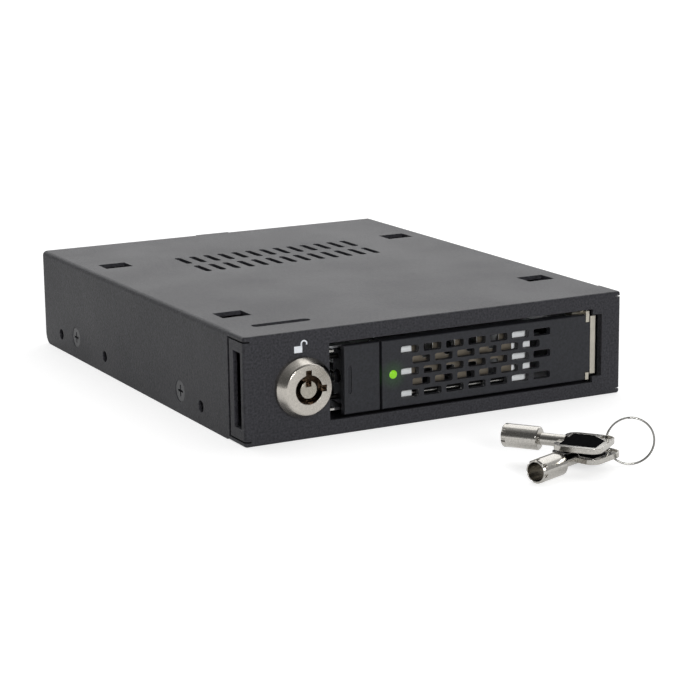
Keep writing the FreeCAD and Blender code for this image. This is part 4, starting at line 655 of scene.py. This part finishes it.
# Rows of capacitors: the board's face, X of the first one and Z of the row in millimetres, and how many.
CAPACITOR_ROWS = (
    (Side.FRONT, -14.0, 18.4, 6),
    (Side.FRONT, 11.5, 14.6, 3),
    (Side.FRONT, 25.0, 18.0, 4),
    (Side.REAR, 32.0, 14.0, 4),
)
# Rows of contacts: node, distance of the row's middle from the node's in millimetres, how many, and the side
# that the node opens to.
CONTACT_ROWS = (
    ("drive_socket", -13.2, 7, Side.FRONT),
    ("drive_socket", 5.4, 15, Side.FRONT),
    ("data_port", 0.0, 7, Side.REAR),
    ("power_port", 0.0, 15, Side.REAR),
)


@dataclass
class Backplane:
    """Circuit board at the rear with its parts, contacts, ports and lamp. All sizes are millimetres.

    Attributes:
        chip_thick: Thickness of the chips.
        chip_round: Width of their bevelled edges.
        capacitor: Width, thickness and height of a capacitor.
        capacitor_pitch: Distance between the capacitors of a row.
        capacitor_round: Width of their bevelled edges.
        pitch: Distance between contacts.
        contact: Width, height and length of a contact.
        setback: Distance from a connector's mouth to its contacts.
        tongue_half: Half the thickness of the tongue that the contacts lie on.
    """

    chip_thick: float = 1.0
    chip_round: float = 0.15
    capacitor: tuple[float, float, float] = (0.9, 0.7, 1.7)
    capacitor_pitch: float = 2.2
    capacitor_round: float = 0.08
    pitch: float = 1.27
    contact: tuple[float, float, float] = (0.7, 0.12, 2.6)
    setback: float = 1.1
    tongue_half: float = 0.5

    def dress(self, finisher: Finisher) -> None:
        """Finish the backplane's own nodes."""
        finisher.dress(SOLDER_MASK, "backplane_board")
        finisher.dress(RAIL_NYLON, "drive_socket", "data_port", "power_port")
        finisher.dress(BRIGHT_NICKEL, "board_screws")
        finisher.dress(GREEN_LENS, "status_led")

    def solder_parts(self, finisher: Finisher) -> None:
        """Put chips and capacitors on both faces of the board."""
        low, high = (Vector(corner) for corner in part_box("backplane_board"))
        chips = bmesh.new()
        small = bmesh.new()
        face = {Side.FRONT: low.y, Side.REAR: high.y}
        thick = self.chip_thick * MM
        for side, x, z, width, height in CHIPS:
            at = Vector((x * MM, face[side] + side.value * thick / 2, z * MM))
            add_block(chips, at, (width * MM, thick, height * MM), self.chip_round * MM)
        size = tuple(part * MM for part in self.capacitor)
        for side, first, z, count in CAPACITOR_ROWS:
            for step in range(count):
                x = (first + self.capacitor_pitch * step) * MM
                at = Vector((x, face[side] + side.value * size[1] / 2, z * MM))
                add_block(small, at, size, self.capacitor_round * MM)
        finisher.add_piece("board_chips", chips, "cage", CHIP_EPOXY)
        finisher.add_piece("board_capacitors", small, "cage", CAPACITOR_CERAMIC)

    def plate_contacts(self, finisher: Finisher) -> None:
        """Lay rows of gold contacts on the tongues of the socket and the two ports."""
        width, thick, length = (part * MM for part in self.contact)
        mesh = bmesh.new()
        for node, offset, count, side in CONTACT_ROWS:
            low, high = (Vector(corner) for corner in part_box(node))
            middle = (low + high) / 2
            mouth = low.y if side is Side.FRONT else high.y
            for step in range(count):
                x = middle.x + (offset + self.pitch * (step - (count - 1) / 2)) * MM
                y = mouth - side.value * (self.setback * MM + length / 2)
                z = middle.z + self.tongue_half * MM + thick / 2
                add_block(mesh, Vector((x, y, z)), (width, length, thick))
        finisher.add_piece("gold_contacts", mesh, "cage", GOLD_FLASH)


@dataclass
class Lock:
    """Tube lock with its nut, washer, turning plug and cam."""

    def dress(self, finisher: Finisher) -> None:
        """Finish the lock's nodes."""
        finisher.dress(LOCK_NICKEL, "lock_housing")
        finisher.dress(PLUG_NICKEL, "lock_plug")
        finisher.dress(BRIGHT_NICKEL, "lock_washer", "lock_nut", "cam_screw")
        finisher.dress(ZINC_SHEET, "lock_cam")


@dataclass
class Tray:
    """Drive tray with its bracket, pins, spring and light pipe.

    Attributes:
        ear: Width, reach and thickness of the ears beside the button, in millimetres.
        ear_lift: Height of the lower ear over the tray's floor in millimetres.
        ear_round: Width of the ears' bevelled edges in millimetres.
        press: How far the button shortens its spring, in millimetres. Not used.
    """

    ear: tuple[float, float, float] = (1.4, 2.4, 0.6)
    ear_lift: float = 1.0
    ear_round: float = 0.1
    press: float = 2.4

    def dress(self, finisher: Finisher) -> None:
        """Finish the tray's nodes."""
        finisher.dress(ZINC_SHEET, "tray_frame", "latch_bracket")
        finisher.dress(SPRING_STEEL, "guide_pins")
        finisher.dress(BRIGHT_NICKEL, "hinge_pin")
        finisher.dress(CLEAR_ACRYLIC, "light_pipe")

    def bend_ears(self, finisher: Finisher) -> None:
        """Let the tray's roof and floor run on as two bright ears beside the release button."""
        low, high = (Vector(corner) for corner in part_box("tray_frame"))
        width, reach, thick = (part * MM for part in self.ear)
        mesh = bmesh.new()
        for height in (high.z - thick / 2, low.z + self.ear_lift * MM + thick / 2):
            centre = Vector((low.x + width / 2, low.y - reach / 2, height))
            add_block(mesh, centre, (width, reach, thick), self.ear_round * MM)
        finisher.add_piece("tray_ears", mesh, "tray", BRIGHT_NICKEL)

    def wind_spring(self, finisher: Finisher) -> None:
        """Copy the button's spring into a smooth piece of its own that rides on the tray, in place of the
        frame's node.
        """
        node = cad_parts["latch_spring"]
        mesh = bmesh.new()
        mesh.from_mesh(node.data)
        mesh.transform(node.matrix_world)
        coil = finisher.add_piece("pressed_spring", mesh, "tray", SPRING_STEEL, smooth=True)
        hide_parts("latch_spring")
        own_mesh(coil)


@dataclass
class Front:
    """Release button and perforated lever.

    Attributes:
        hem: Thickness and height of the rolled hem on the screen, in millimetres.
        hem_rise: Height of the hem's middle in millimetres.
        hem_round: Width of the hem's bevelled edges in millimetres.
    """

    hem: tuple[float, float] = (0.3, 0.42)
    hem_rise: float = 6.7
    hem_round: float = 0.1

    def dress(self, finisher: Finisher) -> None:
        """Finish the button's and the lever's nodes."""
        finisher.dress(LATCH_ABS, "release_button")
        finisher.dress(LEVER_ABS, "lever_grille")
        finisher.dress(SCREEN_SHEET, "grille_screen")
        finisher.dress(STAMPED_STEEL, "lever_hook")
        finisher.dress(GREEN_LENS, "status_lens")

    def roll_hem(self, finisher: Finisher) -> None:
        """Roll a bright hem along the part of the screen with painted shade, behind the lowest row of holes.
        """
        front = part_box("grille_screen")[0][1]
        thick, height = (part * MM for part in self.hem)
        first, last = SCREEN_SHEET.first_mm * MM, SCREEN_SHEET.last_mm * MM
        mesh = bmesh.new()
        add_block(mesh, Vector(((first + last) / 2, front - thick / 2, self.hem_rise * MM)),
                  (last - first, thick, height), self.hem_round * MM)
        finisher.add_piece("screen_hem", mesh, "lever", BRIGHT_NICKEL)


@dataclass
class KeySet:
    """Two tubular keys and their split ring.

    Attributes:
        turn: How far the ring's plane is turned about Z from the X axis, in degrees.
        turns: How many times the wire goes round.
        flat: Half the width of the wire, seen along the ring's axis, in millimetres.
        wire: Half the height of the two turns together, in millimetres.
        share: Height of one turn as a share of the height of both.
        seam: Where round the ring the wire begins, in degrees.
        facets: Facets round the wire.
        steps: Steps of the wire in one turn.
    """

    turn: float = -28.0
    turns: float = 1.85
    flat: float = 0.21
    wire: float = 0.36
    share: float = 0.48
    seam: float = 150.0
    facets: int = 12
    steps: int = 72

    def dress(self, finisher: Finisher) -> None:
        """Finish the keys' nodes."""
        finisher.dress(SATIN_NICKEL, "upper_key", "lower_key")
        finisher.dress(KEY_INLAY, "upper_key_inlay", "lower_key_inlay")

    def wind_ring(self, finisher: Finisher) -> None:
        """Wind the split ring in place of the plain one."""
        low, high = (Vector(corner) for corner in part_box("key_ring"))
        middle = (low + high) / 2
        wire = self.wire * MM
        radius = (high.z - low.z) / 2 - wire
        mesh = bmesh.new()
        section = bmesh.ops.create_circle(mesh, cap_ends=True, segments=self.facets, radius=self.flat * MM)
        bmesh.ops.scale(mesh, vec=(1, self.wire / self.flat * self.share, 1), verts=section["verts"])
        steps = int(self.steps * self.turns)
        lie = Matrix.Translation((radius, 0, -wire / 2)) @ Matrix.Rotation(math.pi / 2, 4, "X")
        bmesh.ops.transform(mesh, matrix=lie, verts=section["verts"])
        bmesh.ops.spin(mesh, geom=mesh.faces[:], cent=(0, 0, 0), axis=(0, 0, 1), dvec=(0, 0, wire / steps),
                       angle=2 * math.pi * self.turns, steps=steps, use_merge=False)
        stand = (Matrix.Translation(middle) @ Matrix.Rotation(math.radians(self.turn), 4, "Z")
                 @ Matrix.Rotation(math.pi / 2, 4, "X") @ Matrix.Rotation(math.radians(self.seam), 4, "Z"))
        bmesh.ops.transform(mesh, matrix=stand, verts=mesh.verts)
        ring = finisher.add_piece("split_ring", mesh, "keys", RING_WIRE, smooth=True)
        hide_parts("key_ring")


@dataclass(frozen=True)
class AreaLamp:
    """A soft box that faces a point.

    Attributes:
        name: Name of the lamp.
        place: Where it stands, in metres.
        target: The point that it faces.
        size: Its width and height in metres.
        power: Its power in watts.
    """

    name: str
    place: tuple[float, float, float]
    target: tuple[float, float, float]
    size: tuple[float, float]
    power: float

    def stand(self) -> None:
        """Put the lamp into the scene."""
        data = bpy.data.lights.new(self.name, "AREA")
        data.shape = "RECTANGLE"
        data.size, data.size_y = self.size
        data.energy = self.power
        lamp = bpy.data.objects.new(self.name, data)
        lamp.location = self.place
        lamp.rotation_euler = (Vector(self.target) - Vector(self.place)).to_track_quat("-Z", "Y").to_euler()
        bpy.context.scene.collection.objects.link(lamp)


# Soft boxes: a large one high behind the cage, and a small one low in front of it.
SOFT_BOXES = (
    AreaLamp("overhead", (0.55, 0.8, 0.95), (0, 0, 0), (2.4, 2.0), 12.0),
    AreaLamp("front", (-0.25, -1.2, 0.4), (-0.02, 0, 0.01), (0.4, 0.3), 8.5),
)


@dataclass
class Studio:
    """Pale floor, soft light and the camera.

    Attributes:
        focal: Focal length in widths of the picture.
        azimuth: Turn of the camera from looking along +Y, in degrees.
        elevation: How far it looks down, in degrees.
        roll: Its roll in degrees.
        place: Where it stands, in metres.
        clip: Nearest and furthest distance that it sees, in metres.
        bright_way: Direction from which the room is brightest.
        bright_span: Cosine to that direction where the room is dimmest, and where it is brightest.
        bright: Strength of the room's light from there.
        dim: Strength of its light from the other side.
        skyline: Strength of its light low down, all round.
        skyline_span: Z of the direction up to which that light is full, and Z where it ends.
        floor_size: Distance from the floor's middle to its sides, in metres.
        floor_colour: Colour of the floor.
        floor_lift: Light that the floor adds under the object for rays that show it.
        far_lift: The same light far from the object.
        lift_span: Distance where it leaves the first value and where it reaches the second, in metres.
        floor_mirrored: How much of the floor's white metal and gloss mirror.
        mirrored: Least strength of the room that metal and gloss mirror.
    """

    focal: float = 3.1355
    azimuth: float = -27.920
    elevation: float = 12.891
    roll: float = -0.703
    place: tuple[float, float, float] = (-0.252474, -0.494696, 0.131239)
    clip: tuple[float, float] = (0.01, 20.0)
    bright_way: tuple[float, float, float] = (0.5, 0.81, 0.31)
    bright_span: tuple[float, float] = (-0.3, 0.95)
    bright: float = 1.0
    dim: float = 0.14
    skyline: float = 0.37
    skyline_span: tuple[float, float] = (0.05, 0.35)
    floor_size: float = 6.0
    floor_colour: str = "cdcdcd"
    floor_lift: float = 0.64
    far_lift: float = 0.9
    lift_span: tuple[float, float] = (0.25, 1.0)
    floor_mirrored: float = 0.6
    mirrored: float = 0.15

    def set_camera(self) -> None:
        """Aim the camera."""
        data = bpy.data.cameras.new("camera")
        data.sensor_fit = "HORIZONTAL"
        data.sensor_width = SENSOR
        data.lens = SENSOR * self.focal
        data.clip_start, data.clip_end = self.clip
        azimuth, elevation = math.radians(self.azimuth), math.radians(self.elevation)
        forward = Vector((-math.sin(azimuth) * math.cos(elevation), math.cos(azimuth) * math.cos(elevation),
                          -math.sin(elevation)))
        level = Vector((math.cos(azimuth), math.sin(azimuth), 0))
        upright = level.cross(forward)
        axes = Matrix((level, upright, -forward)).transposed()
        camera = bpy.data.objects.new("camera", data)
        camera.matrix_world = (Matrix.Translation(self.place)
                               @ (axes @ Matrix.Rotation(math.radians(self.roll), 3, "Z")).to_4x4())
        bpy.context.scene.collection.objects.link(camera)
        bpy.context.scene.camera = camera

    def shown(self, owner: bpy.types.Material | bpy.types.World, mirrored: float) -> bpy.types.NodeSocket:
        """Tell rays that show the background, straight, through glass or mirrored, from those that light.

        Args:
            owner: The floor's material or the world.
            mirrored: How much of the background's white mirrored rays see.

        Returns:
            Socket that is one for straight rays and rays through glass, the mirrored share for mirrored
            rays, and zero for rays that light.
        """
        path = add_node(owner, "ShaderNodeLightPath").outputs
        straight = add_node(owner, "ShaderNodeMath", {"operation": "MAXIMUM"},
                            {0: path["Is Camera Ray"], 1: path["Is Transmission Ray"]})
        return add_node(owner, "ShaderNodeMath", {"operation": "MULTIPLY_ADD", 1: mirrored},
                        {0: path["Is Glossy Ray"], 2: straight.outputs["Value"]}).outputs["Value"]

    def lay_floor(self) -> None:
        """Lay a large pale floor that shows white and keeps the shadow."""
        mesh = bmesh.new()
        bmesh.ops.create_grid(mesh, x_segments=1, y_segments=1, size=self.floor_size)
        data = bpy.data.meshes.new("floor")
        mesh.to_mesh(data)
        mesh.free()
        floor = bpy.data.objects.new("floor", data)
        bpy.context.scene.collection.objects.link(floor)
        matte = start_material("pale_matte_floor")
        place = add_node(matte, "ShaderNodeTexCoord").outputs["Object"]
        away = add_node(matte, "ShaderNodeVectorMath", {"operation": "LENGTH"}, {0: place})
        even = add_node(matte, "ShaderNodeMapRange",
                        {"From Min": self.lift_span[0], "From Max": self.lift_span[1],
                         "To Min": self.floor_lift, "To Max": self.far_lift},
                        {"Value": away.outputs["Value"]})
        lift = add_node(matte, "ShaderNodeMath", {"operation": "MULTIPLY"},
                        {0: self.shown(matte, self.floor_mirrored), 1: even.outputs["Result"]})
        paper = add_node(matte, "ShaderNodeBsdfPrincipled",
                         {"Base Color": to_linear(self.floor_colour), "Roughness": 0.9,
                          "Specular IOR Level": 0.0, "Emission Color": (1, 1, 1, 1)},
                         {"Emission Strength": lift.outputs["Value"]})
        add_node(matte, "ShaderNodeOutputMaterial", links={"Surface": paper.outputs["BSDF"]})
        data.materials.append(matte)

    def light(self) -> None:
        """Hang the soft boxes in a room that is lighter above and behind than in front."""
        for lamp in SOFT_BOXES:
            lamp.stand()
        world = bpy.data.worlds.new("room")
        world.use_nodes = True
        world.node_tree.nodes.clear()
        way = add_node(world, "ShaderNodeTexCoord").outputs["Generated"]
        along = add_node(world, "ShaderNodeVectorMath", {"operation": "DOT_PRODUCT", 1: self.bright_way},
                         {0: way})
        room = add_node(world, "ShaderNodeMapRange",
                        {"interpolation_type": "SMOOTHSTEP",
                         "From Min": self.bright_span[0], "From Max": self.bright_span[1],
                         "To Min": self.dim, "To Max": self.bright},
                        {"Value": along.outputs["Value"]})
        height = add_node(world, "ShaderNodeSeparateXYZ", links={0: way}).outputs["Z"]
        skyline = add_node(world, "ShaderNodeMapRange",
                           {"interpolation_type": "SMOOTHSTEP",
                            "From Min": self.skyline_span[0], "From Max": self.skyline_span[1],
                            "To Min": self.skyline, "To Max": 0.0},
                           {"Value": height})
        around = add_node(world, "ShaderNodeMath", {"operation": "MAXIMUM"},
                          {0: room.outputs["Result"], 1: skyline.outputs["Result"]})
        level = add_node(world, "ShaderNodeMath", {"operation": "MAXIMUM"},
                         {0: around.outputs["Value"], 1: self.shown(world, self.mirrored)})
        sky = add_node(world, "ShaderNodeBackground", links={"Strength": level.outputs["Value"]})
        add_node(world, "ShaderNodeOutputWorld", links={"Surface": sky.outputs["Background"]})
        bpy.context.scene.world = world
        bpy.context.scene.view_settings.view_transform = "Standard"


def main() -> None:
    """Finish every sub-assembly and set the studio."""
    logging.basicConfig(level=logging.INFO, format="%(name)s: %(message)s")
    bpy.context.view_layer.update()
    finisher = Finisher()
    housing = Housing()
    housing.dress(finisher)
    housing.print_mark(finisher)
    backplane = Backplane()
    backplane.dress(finisher)
    backplane.solder_parts(finisher)
    backplane.plate_contacts(finisher)
    Lock().dress(finisher)
    tray = Tray()
    tray.dress(finisher)
    tray.bend_ears(finisher)
    tray.wind_spring(finisher)
    front = Front()
    front.dress(finisher)
    front.roll_hem(finisher)
    keys = KeySet()
    keys.dress(finisher)
    keys.wind_ring(finisher)
    studio = Studio()
    studio.set_camera()
    studio.lay_floor()
    studio.light()


if __name__ == "__main__":
    main()
